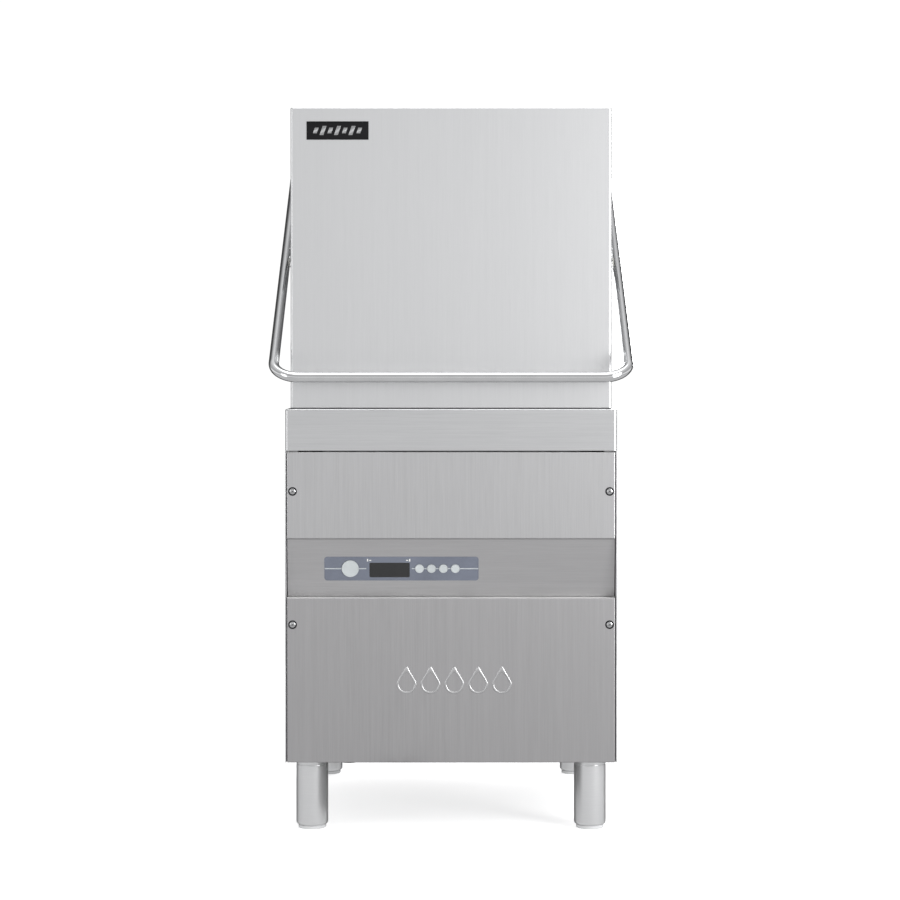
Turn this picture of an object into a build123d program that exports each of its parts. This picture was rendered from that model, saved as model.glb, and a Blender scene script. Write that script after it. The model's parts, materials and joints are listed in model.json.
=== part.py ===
from build123d import *
from math import atan2, cos, sin, tan
import os

os.makedirs("parts", exist_ok=True)

# Lengths are in millimetres. X runs across the front, Y towards the back, Z up from the floor.
# The origin is on the floor, below the middle of the whole machine with its hood closed.

# Cabinet
body_width = 640.0
body_depth = 720.0
leg_height = 134.0
deck_height = 816.0
apron_height = 80.0
apron_gap = 2.5
side_sheet = 2.0
rear_sheet = 1.5
panel_sheet = 1.5
panel_depth = 16.0
panel_side_gap = 1.5
panel_bend = 2.0
flange_width = 22.0

# Front panels
upper_panel_bottom = 566.0
lower_panel_top = 452.0
panel_seam = 1.0
control_recess_top = 8.0
control_recess_bottom = 26.0
control_depth = 44.0
screw_inset = 14.4
upper_screw_height = 657.5
lower_screw_height = 400.5
screw_radius = 2.5
screw_head_radius = 6.0
cup_radius = 8.5
cup_height = 1.6

# Controls, measured on the face of the control panel
fascia_width = 298.5
fascia_height = 47.2
fascia_offset = -96.0
fascia_centre_height = 507.2
fascia_corner = 6.0
film = 0.5
display_width = 78.0
display_height = 29.0
display_offset = -119.0
display_drop = 2.7
display_corner = 2.5
start_offset = -195.2
start_radius = 16.5
option_offset = -61.2
option_pitch = 23.1
option_radius = 8.4
button_travel = 1.8
button_proud = 1.2
button_gap = 0.3

# Wash tank
tank_sheet = 1.5
basin_side_margin = 58.0
basin_front_margin = 46.0
basin_back_margin = 160.0
ledge_width = 12.0
ledge_drop = 71.0
basin_depth = 196.0
sump_size = 150.0
sump_depth = 45.0
lip_height = 18.0
apron_corner = 6.0
apron_edge = 3.0
seal_height = 2.0
seal_width = 12.0

# Hood and its column
hood_side_inset = 9.0
hood_height = 581.0
hood_setback = 25.0
hood_sheet = 1.2
hood_corner = 5.0
hood_gap = 0.3
column_gap = 28.0
column_depth = 92.0
column_side_inset = 21.0
column_sheet = 1.5
column_drop = 7.0
rail_spacing = 400.0
rail_width = 20.0
rail_depth = 14.0
block_width = 44.0
block_length = 36.0
block_pitch = 88.0
block_start = 14.0
slide_gap = 0.3

# Lift handle and its balance
tube_radius = 10.0
tube_wall = 1.5
handle_reach = 60.0
handle_rise = 62.0
handle_bend = 50.0
arm_gap = 19.0
pivot_drop = 60.3
pivot_clearance = 0.5
hub_radius = 20.0
shaft_radius = 12.5
bearing_clearance = 0.05
roller_distance = 405.0
roller_radius = 11.0
roller_width = 9.0
roller_pin_radius = 5.0
roller_play = 6.0
channel_sheet = 2.0
lever_length = 45.0
lever_spacing = 300.0
lever_thickness = 6.0
lever_tip_radius = 8.0
spring_radius = 11.0
spring_wire = 3.0
spring_anchor_rise = 107.5

# Legs
leg_radius = 31.0
leg_inset_side = 49.4
leg_inset_front = 50.0
leg_inset_back = 70.0
foot_radius = 27.0
foot_height = 7.0
foot_chamfer = 1.5
stem_radius = 14.0
stem_length = 90.0
stem_clearance = 0.05
stud_radius = 6.0

# Worked out from the sizes above
front = handle_reach + tube_radius - (handle_reach + tube_radius + body_depth) / 2
back = front + body_depth
half_body = body_width / 2
panel_half = half_body - side_sheet - panel_side_gap
upper_panel_top = deck_height - apron_height - apron_gap
screw_x = half_body - screw_inset
hood_width = body_width - 2 * hood_side_inset
hood_depth = body_depth - hood_setback - column_gap - column_depth
half_hood = hood_width / 2
hood_bottom = deck_height + seal_height + hood_gap
hood_top = hood_bottom + hood_height
hood_front = front + hood_setback
hood_back = hood_front + hood_depth
column_front = hood_back + column_gap
column_top = hood_top - column_drop
half_column = half_hood - column_side_inset
basin_x = half_body - basin_side_margin
basin_front = front + basin_front_margin
basin_back = back - basin_back_margin
basin_floor = deck_height - basin_depth
ledge_height = deck_height - ledge_drop
centre_y = (basin_front + basin_back) / 2
arm_x = half_hood + arm_gap + tube_radius
bar_y = front - handle_reach
handle_height = deck_height + handle_rise
pivot_y = column_front + column_sheet + hub_radius + pivot_clearance
pivot_height = hood_top - pivot_drop
arm_angle = atan2(pivot_height - handle_height, pivot_y - bar_y)
roller_y = pivot_y - roller_distance * cos(arm_angle)
roller_z = pivot_height - roller_distance * sin(arm_angle)


def block(x, y, z, mode=Mode.ADD):
    # A block between two corners, each axis given as its low and high ends
    centre = (sum(x) / 2, sum(y) / 2, sum(z) / 2)
    with Locations(centre):
        Box(abs(x[1] - x[0]), abs(y[1] - y[0]), abs(z[1] - z[0]), mode=mode)


def rod(start, end, radius, mode=Mode.ADD):
    # A round bar from one point to another
    along = Vector(*end) - Vector(*start)
    with Locations(Plane(origin=start, z_dir=along)):
        Cylinder(radius, along.length, align=(Align.CENTER, Align.CENTER, Align.MIN), mode=mode)


# ---- Cabinet ----

tray_sheet = 2.0
tray_rim = 30.0
tray_x = half_body - side_sheet
tray_front = front + panel_depth + side_sheet
tray_back = back - rear_sheet - side_sheet
leg_x = half_body - leg_inset_side
leg_spots = [
    (-leg_x, front + leg_inset_front),
    (leg_x, front + leg_inset_front),
    (-leg_x, back - leg_inset_back),
    (leg_x, back - leg_inset_back),
]

# Drain and water inlet leave downwards through the tray
sump_margin = 10.0
sump_x = -basin_x + ledge_width + sump_margin + sump_size / 2
sump_y = basin_front + ledge_width + sump_margin + sump_size / 2
sump_floor = basin_floor - sump_depth
port_spacing = 75.0
drain_x = sump_x - port_spacing / 2
suction_x = sump_x + port_spacing / 2
drain_radius = 20.0
drain_length = 22.0
drain_shank = drain_radius + 2.0
hose_wall = 2.5
inlet_x = half_body - 70.0
inlet_y = back - 130.0
inlet_radius = 13.2
inlet_length = 16.0
inlet_shank = inlet_radius + 2.0
gland_x = inlet_x - 70.0
gland_y = inlet_y
gland_radius = 12.0
gland_bore = 7.0

with BuildPart() as base_tray:
    block((-tray_x, tray_x), (tray_front, tray_back), (leg_height, leg_height + tray_rim))
    block(
        (-tray_x + tray_sheet, tray_x - tray_sheet),
        (tray_front + tray_sheet, tray_back - tray_sheet),
        (leg_height + tray_sheet, leg_height + tray_rim),
        Mode.SUBTRACT,
    )
    with Locations(*[(x, y, leg_height) for x, y in leg_spots]):
        Cylinder(stud_radius, 4 * tray_sheet, mode=Mode.SUBTRACT)
    for x, y, radius in (
        (drain_x, sump_y, drain_shank),
        (inlet_x, inlet_y, inlet_shank),
        (gland_x, gland_y, gland_radius),
    ):
        with Locations((x, y, leg_height)):
            Cylinder(radius, 4 * tray_sheet, mode=Mode.SUBTRACT)
base_tray.part.label = "base_tray"
export_step(base_tray.part, "parts/base_tray.step")

flange_front = front + panel_depth
flange_back = back - rear_sheet
side_top = deck_height - apron_height
for side, name in ((-1, "left_side_panel"), (1, "right_side_panel")):
    skin = (side * (half_body - side_sheet), side * half_body)
    returns = (side * (half_body - side_sheet - flange_width), side * half_body)
    with BuildPart() as side_panel:
        block(skin, (front, back), (leg_height, side_top))
        with BuildSketch(Plane.XY.offset(leg_height)):
            with Locations((sum(returns) / 2, flange_front + side_sheet / 2)):
                Rectangle(flange_width + side_sheet, side_sheet)
            with Locations((sum(returns) / 2, flange_back - side_sheet / 2)):
                Rectangle(flange_width + side_sheet, side_sheet)
        extrude(amount=side_top - leg_height)
        # The flange stops short of the recessed control panel
        block(
            (side * (half_body - side_sheet - flange_width - 1), side * (half_body - side_sheet)),
            (flange_front - 1, flange_front + side_sheet + 1),
            (lower_panel_top - panel_sheet - panel_seam, upper_panel_bottom),
            Mode.SUBTRACT,
        )
        outer_edges = side_panel.edges().filter_by(Axis.Z)
        fillet(outer_edges.filter_by_position(Axis.X, side * half_body, side * half_body), side_sheet * 0.45)
        for height in (upper_screw_height, lower_screw_height):
            rod(
                (side * screw_x, flange_front - 1, height),
                (side * screw_x, flange_front + side_sheet + 1, height),
                screw_radius,
                Mode.SUBTRACT,
            )
    side_panel.part.label = name
    export_step(side_panel.part, f"parts/{name}.step")

with BuildPart() as rear_panel:
    block((-tray_x, tray_x), (back - rear_sheet, back), (leg_height, side_top - apron_gap))
    louvre_width = 180.0
    louvre_height = 5.0
    louvre_pitch = 16.0
    with BuildSketch(Plane.XZ.offset(-back)):
        with Locations((0, leg_height + 90.0)):
            with GridLocations(louvre_width + 40.0, louvre_pitch, 2, 6):
                SlotOverall(louvre_width, louvre_height)
    extrude(amount=2 * rear_sheet, both=True, mode=Mode.SUBTRACT)
rear_panel.part.label = "rear_panel"
export_step(rear_panel.part, "parts/rear_panel.step")


def panel_screw_holes(height):
    # Clearance for the cup washers' screws through a front panel
    for x in (-screw_x, screw_x):
        rod((x, front - 1, height), (x, front + 2 * panel_sheet, height), screw_radius, Mode.SUBTRACT)


with BuildPart() as upper_front_panel:
    block((-panel_half, panel_half), (front, front + panel_depth), (upper_panel_bottom, upper_panel_top))
    fillet(upper_front_panel.faces().sort_by(Axis.Y)[0].edges(), panel_bend)
    offset(amount=-panel_sheet, openings=upper_front_panel.faces().sort_by(Axis.Y)[-1])
    panel_screw_holes(upper_screw_height)
upper_front_panel.part.label = "upper_front_panel"
export_step(upper_front_panel.part, "parts/upper_front_panel.step")

# The lower panel's top flange runs on under the control panel as a ledge
ledge_end = front + control_depth
with BuildPart() as lower_front_panel:
    block((-panel_half, panel_half), (front, front + panel_depth), (leg_height, lower_panel_top))
    fillet(lower_front_panel.faces().sort_by(Axis.Y)[0].edges(), panel_bend)
    offset(amount=-panel_sheet, openings=lower_front_panel.faces().sort_by(Axis.Y)[-1])
    block(
        (-panel_half, panel_half),
        (front + panel_depth, ledge_end),
        (lower_panel_top - panel_sheet, lower_panel_top),
    )
    panel_screw_holes(lower_screw_height)
lower_front_panel.part.label = "lower_front_panel"
export_step(lower_front_panel.part, "parts/lower_front_panel.step")

# The control panel leans back towards its foot, between the upper and lower panels
control_top = upper_panel_bottom - panel_seam
control_bottom = lower_panel_top + panel_seam
control_tilt = atan2(control_recess_bottom - control_recess_top, control_top - control_bottom)


def control_y(height):
    # Front face of the control panel at a height above the floor
    return front + control_recess_top + (control_top - height) * tan(control_tilt)


control_face = Plane(
    origin=(0, control_y(fascia_centre_height), fascia_centre_height),
    x_dir=(1, 0, 0),
    z_dir=(0, -cos(control_tilt), -sin(control_tilt)),
)
option_spots = [(option_offset + i * option_pitch, 0) for i in range(4)]
inner_shift = panel_sheet / cos(control_tilt)

with BuildPart() as control_panel:
    with BuildSketch(Plane.YZ.offset(-panel_half)):
        with BuildLine():
            Polyline(
                (ledge_end, control_top),
                (control_y(control_top), control_top),
                (control_y(control_bottom), control_bottom),
                (ledge_end, control_bottom),
                close=True,
            )
        make_face()
    extrude(amount=2 * panel_half)
    with BuildSketch(Plane.YZ.offset(-panel_half + panel_sheet)):
        with BuildLine():
            Polyline(
                (ledge_end + 1, control_top - panel_sheet),
                (control_y(control_top - panel_sheet) + inner_shift, control_top - panel_sheet),
                (control_y(control_bottom + panel_sheet) + inner_shift, control_bottom + panel_sheet),
                (ledge_end + 1, control_bottom + panel_sheet),
                close=True,
            )
        make_face()
    extrude(amount=2 * (panel_half - panel_sheet), mode=Mode.SUBTRACT)
    with BuildSketch(control_face):
        with Locations((display_offset, -display_drop)):
            RectangleRounded(display_width, display_height, display_corner)
        with Locations((start_offset, 0)):
            Circle(start_radius + button_gap)
        with Locations(*option_spots):
            Circle(option_radius + button_gap)
    extrude(amount=3 * panel_sheet, both=True, mode=Mode.SUBTRACT)
control_panel.part.label = "control_panel"
export_step(control_panel.part, "parts/control_panel.step")

with BuildPart() as fascia_overlay:
    with BuildSketch(control_face):
        with Locations((fascia_offset, 0)):
            RectangleRounded(fascia_width, fascia_height, fascia_corner)
        with Locations((display_offset, -display_drop)):
            RectangleRounded(display_width, display_height, display_corner, mode=Mode.SUBTRACT)
        with Locations((start_offset, 0)):
            Circle(start_radius + button_gap, mode=Mode.SUBTRACT)
        with Locations(*option_spots):
            Circle(option_radius + button_gap, mode=Mode.SUBTRACT)
    extrude(amount=film)
fascia_overlay.part.label = "fascia_overlay"
export_step(fascia_overlay.part, "parts/fascia_overlay.step")

with BuildPart() as display_window:
    with BuildSketch(control_face.offset(-panel_sheet)):
        with Locations((display_offset, -display_drop)):
            RectangleRounded(display_width, display_height, display_corner)
    extrude(amount=panel_sheet + film)
display_window.part.label = "display_window"
export_step(display_window.part, "parts/display_window.step")

# Push buttons: a cap, a collar behind the panel and a stem that reaches its switch
collar_extra = 1.4
collar_depth = 1.6
stem_reach = 8.0
button_stem_radius = 2.5
cap_edge = 0.5
buttons = [("start_button", start_offset, start_radius)]
buttons += [(f"option_button_{i + 1}", x, option_radius) for i, (x, _) in enumerate(option_spots)]
for name, offset_x, radius in buttons:
    cap_top = film + button_proud
    collar_top = -panel_sheet - button_gap
    with BuildPart() as button:
        with BuildSketch(control_face.offset(collar_top)):
            with Locations((offset_x, 0)):
                Circle(radius)
        extrude(amount=cap_top - collar_top)
        fillet(button.faces().sort_by(Axis(control_face.origin, control_face.z_dir))[-1].edges(), cap_edge)
        with BuildSketch(control_face.offset(collar_top)):
            with Locations((offset_x, 0)):
                Circle(radius + collar_extra)
        extrude(amount=-collar_depth)
        with BuildSketch(control_face.offset(collar_top - collar_depth)):
            with Locations((offset_x, 0)):
                Circle(button_stem_radius)
        extrude(amount=-(stem_reach - collar_depth))
    button.part.label = name
    export_step(button.part, f"parts/{name}.step")

# Control board on four posts behind the panel, with one switch for each button
board_thickness = 1.6
switch_size = 8.0
switch_top = -panel_sheet - button_gap - stem_reach - button_travel - button_gap
switch_height = 3.5
board_face = switch_top - switch_height
post_radius = 3.0
with BuildPart() as control_board:
    with BuildSketch(control_face.offset(board_face)):
        with Locations((fascia_offset, 0)):
            Rectangle(fascia_width - 10, fascia_height + 12)
    extrude(amount=-board_thickness)
    with BuildSketch(control_face.offset(board_face)):
        with Locations((fascia_offset, 0)):
            with GridLocations(fascia_width - 24, fascia_height + 2, 2, 2):
                Circle(post_radius)
    extrude(amount=-panel_sheet - board_face)
    with BuildSketch(control_face.offset(board_face)):
        with Locations(*[(x, 0) for _, x, _ in buttons]):
            Rectangle(switch_size, switch_size)
    extrude(amount=switch_height)
    with BuildSketch(control_face.offset(board_face)):
        with Locations((display_offset, -display_drop)):
            Rectangle(display_width - 4, display_height - 4)
    extrude(amount=-panel_sheet - board_face)
control_board.part.label = "control_board"
export_step(control_board.part, "parts/control_board.step")

screw_spots = [(x, z) for x in (-screw_x, screw_x) for z in (upper_screw_height, lower_screw_height)]
screw_head = 2.2
cross_slot = 1.2
with BuildPart() as screw_cup_washers:
    for x, z in screw_spots:
        rod((x, front, z), (x, front - cup_height, z), cup_radius)
    chamfer(screw_cup_washers.faces().sort_by(Axis.Y)[:4].edges(), cup_height * 0.6)
    for x, z in screw_spots:
        rod((x, front, z), (x, front - cup_height, z), screw_head_radius + 0.3, Mode.SUBTRACT)
screw_cup_washers.part.label = "screw_cup_washers"
export_step(screw_cup_washers.part, "parts/screw_cup_washers.step")

with BuildPart() as panel_screws:
    for x, z in screw_spots:
        rod((x, front, z), (x, front - screw_head, z), screw_head_radius)
    fillet(panel_screws.faces().sort_by(Axis.Y)[:4].edges(), screw_head * 0.5)
    for x, z in screw_spots:
        for wide, tall in ((cross_slot, screw_head_radius * 1.1), (screw_head_radius * 1.1, cross_slot)):
            block(
                (x - wide / 2, x + wide / 2),
                (front - screw_head - 1, front - screw_head * 0.45),
                (z - tall / 2, z + tall / 2),
                Mode.SUBTRACT,
            )
        rod((x, front, z), (x, flange_front + side_sheet, z), screw_radius)
panel_screws.part.label = "panel_screws"
export_step(panel_screws.part, "parts/panel_screws.step")

# Legs with screwed inserts
stud_length = 16.0
leg_rounding = 6.0
collar_groove = 1.0
with BuildPart() as legs:
    for x, y in leg_spots:
        rod((x, y, foot_height), (x, y, leg_height), leg_radius)
    fillet(legs.faces().filter_by(Plane.XY).sort_by(Axis.Z)[:4].edges(), leg_rounding)
    for x, y in leg_spots:
        with Locations((x, y, leg_height - 9)):
            Torus(leg_radius + collar_groove * 0.4, collar_groove, mode=Mode.SUBTRACT)
        rod((x, y, leg_height), (x, y, leg_height + stud_length), stud_radius)
        rod(
            (x, y, foot_height - 1),
            (x, y, foot_height + stem_length + 2),
            stem_radius + stem_clearance,
            Mode.SUBTRACT,
        )
legs.part.label = "legs"
export_step(legs.part, "parts/legs.step")

foot_names = ("front_left_foot", "front_right_foot", "rear_left_foot", "rear_right_foot")
for name, (x, y) in zip(foot_names, leg_spots):
    with BuildPart() as foot:
        with BuildSketch(Plane.XZ.offset(-y)):
            with BuildLine():
                Polyline(
                    (x, 0),
                    (x + foot_radius - foot_chamfer, 0),
                    (x + foot_radius, foot_chamfer),
                    (x + foot_radius, foot_height - foot_chamfer),
                    (x + foot_radius - foot_chamfer, foot_height),
                    (x + stem_radius, foot_height),
                    (x + stem_radius, foot_height + stem_length),
                    (x, foot_height + stem_length),
                    close=True,
                )
            make_face()
        revolve(axis=Axis((x, y, 0), (0, 0, 1)))
    foot.part.label = name
    export_step(foot.part, f"parts/{name}.step")

# ---- Wash tank ----

riser_x = 0.0
riser_y = (basin_back + hood_back) / 2 - 0.5
riser_radius = 13.0
rinse_x = 60.0
rinse_radius = 6.0
feed_radius = 18.0
probe_gap = 0.2
with BuildPart() as wash_tank:
    block((-half_body, half_body), (front, back), (deck_height - apron_height, deck_height))
    fillet(wash_tank.edges().filter_by(Axis.Z), apron_corner)
    fillet(wash_tank.faces().sort_by(Axis.Z)[-1].edges(), apron_edge)
    with BuildSketch(Plane.XY.offset(deck_height - tank_sheet)):
        with Locations((0, (front + back) / 2)):
            RectangleRounded(
                body_width - 2 * tank_sheet,
                body_depth - 2 * tank_sheet,
                apron_corner - tank_sheet,
            )
    extrude(amount=-apron_height, mode=Mode.SUBTRACT)
    # Upper basin with its lip, lower basin below the strainer ledge, then the sump
    for grow, mode in ((tank_sheet, Mode.ADD), (0.0, Mode.SUBTRACT)):
        rise = lip_height if grow else lip_height + 1
        block(
            (-basin_x - grow, basin_x + grow),
            (basin_front - grow, basin_back + grow),
            (ledge_height - grow, deck_height + rise),
            mode,
        )
        inset = ledge_width - grow
        block(
            (-basin_x + inset, basin_x - inset),
            (basin_front + inset, basin_back - inset),
            (basin_floor - grow, ledge_height),
            mode,
        )
        reach = sump_size / 2 + grow
        block(
            (sump_x - reach, sump_x + reach),
            (sump_y - reach, sump_y + reach),
            (sump_floor - grow, basin_floor),
            mode,
        )
    for x, y, z, radius in (
        (riser_x, riser_y, deck_height, riser_radius),
        (rinse_x, riser_y, deck_height, rinse_radius),
        (0, centre_y, basin_floor, feed_radius - 3),
        (drain_x, sump_y, sump_floor, drain_radius - hose_wall),
        (suction_x, sump_y, sump_floor, drain_radius - hose_wall),
    ):
        with Locations((x, y, z)):
            Cylinder(radius, 6 * tank_sheet, mode=Mode.SUBTRACT)
wash_tank.part.label = "wash_tank"
export_step(wash_tank.part, "parts/wash_tank.step")

with BuildPart() as hood_seal:
    with BuildSketch(Plane.XY.offset(deck_height)):
        with Locations((0, (hood_front + hood_back) / 2)):
            RectangleRounded(hood_width, hood_depth, hood_corner)
            Rectangle(hood_width - 2 * seal_width, hood_depth - 2 * seal_width, mode=Mode.SUBTRACT)
    extrude(amount=seal_height)
    for x, radius in ((riser_x, riser_radius), (rinse_x, rinse_radius)):
        with Locations((x, riser_y, deck_height)):
            Cylinder(radius + 1, 6 * seal_height, mode=Mode.SUBTRACT)
hood_seal.part.label = "hood_seal"
export_step(hood_seal.part, "parts/hood_seal.step")

# Rack guide: a ring on four feet that a square basket slides over
guide_bar = 12.0
guide_bottom = deck_height + lip_height + 4
guide_top = guide_bottom + 10.0
guide_x = basin_x + tank_sheet + guide_bar
guide_half_y = (basin_back - basin_front) / 2 + 1
with BuildPart() as rack_guide:
    with BuildSketch(Plane.XY.offset(guide_bottom)):
        with Locations((0, centre_y)):
            Rectangle(2 * guide_x, 2 * guide_half_y)
            Rectangle(2 * guide_x - 60, 2 * guide_half_y - 56, mode=Mode.SUBTRACT)
    extrude(amount=guide_top - guide_bottom)
    for side in (-1, 1):
        edge = centre_y + side * guide_half_y
        block((-guide_x, guide_x), (edge - side * 3, edge), (guide_top, guide_top + 16))
        for end in (-1, 1):
            foot_y = centre_y + end * (guide_half_y - 40)
            block(
                (side * (basin_x + tank_sheet), side * guide_x),
                (foot_y - 8, foot_y + 8),
                (deck_height, guide_bottom),
            )
rack_guide.part.label = "rack_guide"
export_step(rack_guide.part, "parts/rack_guide.step")

# Two strainers lie on the ledge and meet in the middle
strainer_sheet = 1.5
strainer_gap = 0.5
pedestal_radius = 25.0
overflow_radius = 16.0
with BuildPart() as tank_strainers:
    for side in (-1, 1):
        block(
            (side * strainer_gap, side * (basin_x - strainer_gap)),
            (basin_front + strainer_gap, basin_back - strainer_gap),
            (ledge_height, ledge_height + strainer_sheet),
        )
    with BuildSketch(Plane.XY.offset(ledge_height)):
        for side in (-1, 1):
            with Locations((side * basin_x / 2, centre_y)):
                with GridLocations(32, 26, 6, 17):
                    SlotOverall(22, 5)
    extrude(amount=strainer_sheet, mode=Mode.SUBTRACT)
    with Locations((0, centre_y, ledge_height)):
        Cylinder(pedestal_radius + 2, 6 * strainer_sheet, mode=Mode.SUBTRACT)
    with Locations((drain_x, sump_y, ledge_height)):
        Cylinder(overflow_radius + 4, 6 * strainer_sheet, mode=Mode.SUBTRACT)
tank_strainers.part.label = "tank_strainers"
export_step(tank_strainers.part, "parts/tank_strainers.step")

overflow_top = ledge_height + 24.0
overflow_wall = 2.0
with BuildPart() as overflow_pipe:
    rod((drain_x, sump_y, sump_floor), (drain_x, sump_y, overflow_top), overflow_radius)
    rod((drain_x, sump_y, sump_floor), (drain_x, sump_y, sump_floor + 10), overflow_radius + 4)
    rod(
        (drain_x, sump_y, sump_floor),
        (drain_x, sump_y, overflow_top),
        overflow_radius - overflow_wall,
        Mode.SUBTRACT,
    )
    block(
        (drain_x - overflow_radius + 1, drain_x + overflow_radius - 1),
        (sump_y - 2, sump_y + 2),
        (overflow_top - 12, overflow_top),
    )
overflow_pipe.part.label = "overflow_pipe"
export_step(overflow_pipe.part, "parts/overflow_pipe.step")

filter_radius = 26.0
filter_height = 60.0
with BuildPart() as sump_filter:
    rod((suction_x, sump_y, sump_floor), (suction_x, sump_y, sump_floor + filter_height), filter_radius)
    rod(
        (suction_x, sump_y, sump_floor),
        (suction_x, sump_y, sump_floor + filter_height - 2),
        filter_radius - 1.5,
        Mode.SUBTRACT,
    )
    with Locations((suction_x, sump_y, sump_floor + filter_height / 2)):
        with PolarLocations(filter_radius, 12):
            Box(6, 4, filter_height - 16, mode=Mode.SUBTRACT)
sump_filter.part.label = "sump_filter"
export_step(sump_filter.part, "parts/sump_filter.step")

# ---- Spray arms: a pedestal from below, a riser from above ----

arm_clearance = 0.06
arm_float = 0.3
wash_spindle = 12.0
rinse_spindle = 7.0
wash_hub_height = 24.0
rinse_hub_height = 16.0
nut_radius = 11.0
nut_height = 8.0
wash_arm_length = 245.0
rinse_arm_length = 232.0
lower_arm_base = ledge_height + 22.0
head_size = 44.0
head_bottom = hood_top - 78.0
head_top = head_bottom + 42.0
riser_bend = 45.0
riser_height = head_bottom + 21.0
manifold_height = sump_floor - 8.0


def spindle(x, y, base, up):
    # Stepped spindle with its nut: the wash arm turns on the wide step, the rinse arm on the narrow one
    wide_end = base + up * (wash_hub_height + 2 * arm_float)
    narrow_end = wide_end + up * (rinse_hub_height + 2 * arm_float)
    rod((x, y, base - up), (x, y, wide_end), wash_spindle)
    rod((x, y, base - up), (x, y, narrow_end + up), rinse_spindle)
    rod((x, y, narrow_end), (x, y, narrow_end + up * nut_height), nut_radius)


with BuildPart() as lower_spray_pedestal:
    rod((0, centre_y, basin_floor), (0, centre_y, basin_floor + 6), pedestal_radius + 12)
    rod((0, centre_y, basin_floor), (0, centre_y, lower_arm_base), pedestal_radius - 5)
    rod((0, centre_y, basin_floor - 1), (0, centre_y, lower_arm_base - 12), feed_radius - 4, Mode.SUBTRACT)
    spindle(0, centre_y, lower_arm_base, 1)
lower_spray_pedestal.part.label = "lower_spray_pedestal"
export_step(lower_spray_pedestal.part, "parts/lower_spray_pedestal.step")

with BuildPart() as wash_riser:
    with BuildLine() as riser_path:
        FilletPolyline(
            (riser_x, riser_y, manifold_height + feed_radius),
            (riser_x, riser_y, riser_height),
            (riser_x, centre_y + head_size / 2 - 1, riser_height),
            radius=riser_bend,
        )
    with BuildSketch(Plane(origin=riser_path.line @ 0, z_dir=riser_path.line % 0)):
        Circle(riser_radius)
    sweep(path=riser_path.line)
    block(
        (-head_size / 2, head_size / 2),
        (centre_y - head_size / 2, centre_y + head_size / 2),
        (head_bottom, head_top),
    )
    fillet(wash_riser.faces().sort_by(Axis.Y)[0].edges(), 6)
    spindle(0, centre_y, head_bottom, -1)
wash_riser.part.label = "wash_riser"
export_step(wash_riser.part, "parts/wash_riser.step")

rinse_bend = 25.0
with BuildPart() as rinse_riser:
    with BuildLine() as rinse_path:
        FilletPolyline(
            (rinse_x, riser_y, manifold_height),
            (rinse_x, riser_y, riser_height),
            (rinse_x, centre_y, riser_height),
            (head_size / 2, centre_y, riser_height),
            radius=rinse_bend,
        )
    with BuildSketch(Plane(origin=rinse_path.line @ 0, z_dir=rinse_path.line % 0)):
        Circle(rinse_radius)
    sweep(path=rinse_path.line)
rinse_riser.part.label = "rinse_riser"
export_step(rinse_riser.part, "parts/rinse_riser.step")

# Each arm is a flat tube with raised nozzles, cut through for its spindle
nozzle_radius = 5.0
nozzle_height = 3.0
nozzle_pitch = 34.0
arm_sets = (
    ("lower_wash_arm", 1, wash_arm_length, 34.0, 14.0, wash_hub_height, wash_spindle, 0.0),
    ("lower_rinse_arm", 1, rinse_arm_length, 16.0, 9.0, rinse_hub_height, rinse_spindle, wash_hub_height),
    ("upper_wash_arm", -1, wash_arm_length, 34.0, 14.0, wash_hub_height, wash_spindle, 0.0),
    ("upper_rinse_arm", -1, rinse_arm_length, 16.0, 9.0, rinse_hub_height, rinse_spindle, wash_hub_height),
)
for name, up, length, width, thickness, hub, bore, beyond in arm_sets:
    base = lower_arm_base if up > 0 else head_bottom
    start = base + up * (beyond + arm_float * (3 if beyond else 1))
    with BuildPart() as spray_arm:
        rod((0, centre_y, start), (0, centre_y, start + up * hub), bore + 8)
        middle = start + up * hub / 2
        block(
            (-length, length),
            (centre_y - width / 2, centre_y + width / 2),
            (middle - thickness / 2, middle + thickness / 2),
        )
        fillet(spray_arm.edges().filter_by(Axis.X), thickness * 0.4)
        for side in (-1, 1):
            for i in range(1, 7):
                x = side * i * nozzle_pitch
                surface = middle + up * (thickness / 2 - 0.5)
                rod(
                    (x, centre_y, surface),
                    (x, centre_y, surface + up * (nozzle_height + 0.5)),
                    nozzle_radius,
                )
        rod(
            (0, centre_y, start - up),
            (0, centre_y, start + up * (hub + 1)),
            bore + arm_clearance,
            Mode.SUBTRACT,
        )
    spray_arm.part.label = name
    export_step(spray_arm.part, f"parts/{name}.step")

# ---- Hood ----

channel_length = 98.0
channel_half = roller_radius + roller_play + channel_sheet
channel_outer = arm_x - tube_radius - 3
channel_back = roller_y + roller_radius + roller_play
with BuildPart() as hood_shell:
    block((-half_hood, half_hood), (hood_front, hood_back), (hood_bottom, hood_top))
    fillet(hood_shell.edges().filter_by(Axis.Z), hood_corner)
    fillet(hood_shell.faces().sort_by(Axis.Z)[-1].edges(), hood_corner * 0.6)
    offset(amount=-hood_sheet, openings=hood_shell.faces().sort_by(Axis.Z)[0])
hood_shell.part.label = "hood_shell"
export_step(hood_shell.part, "parts/hood_shell.step")

badge_width = 120.0
badge_height = 35.5
badge_thickness = 1.5
badge_left = -279.6
badge_drop = 27.0
with BuildPart() as hood_badge:
    with BuildSketch(Plane.XZ.offset(-hood_front)):
        with Locations((badge_left + badge_width / 2, hood_top - badge_drop - badge_height / 2)):
            RectangleRounded(badge_width, badge_height, 1.5)
    extrude(amount=badge_thickness)
    fillet(hood_badge.faces().sort_by(Axis.Y)[0].edges(), badge_thickness * 0.3)
hood_badge.part.label = "hood_badge"
export_step(hood_badge.part, "parts/hood_badge.step")

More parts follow.
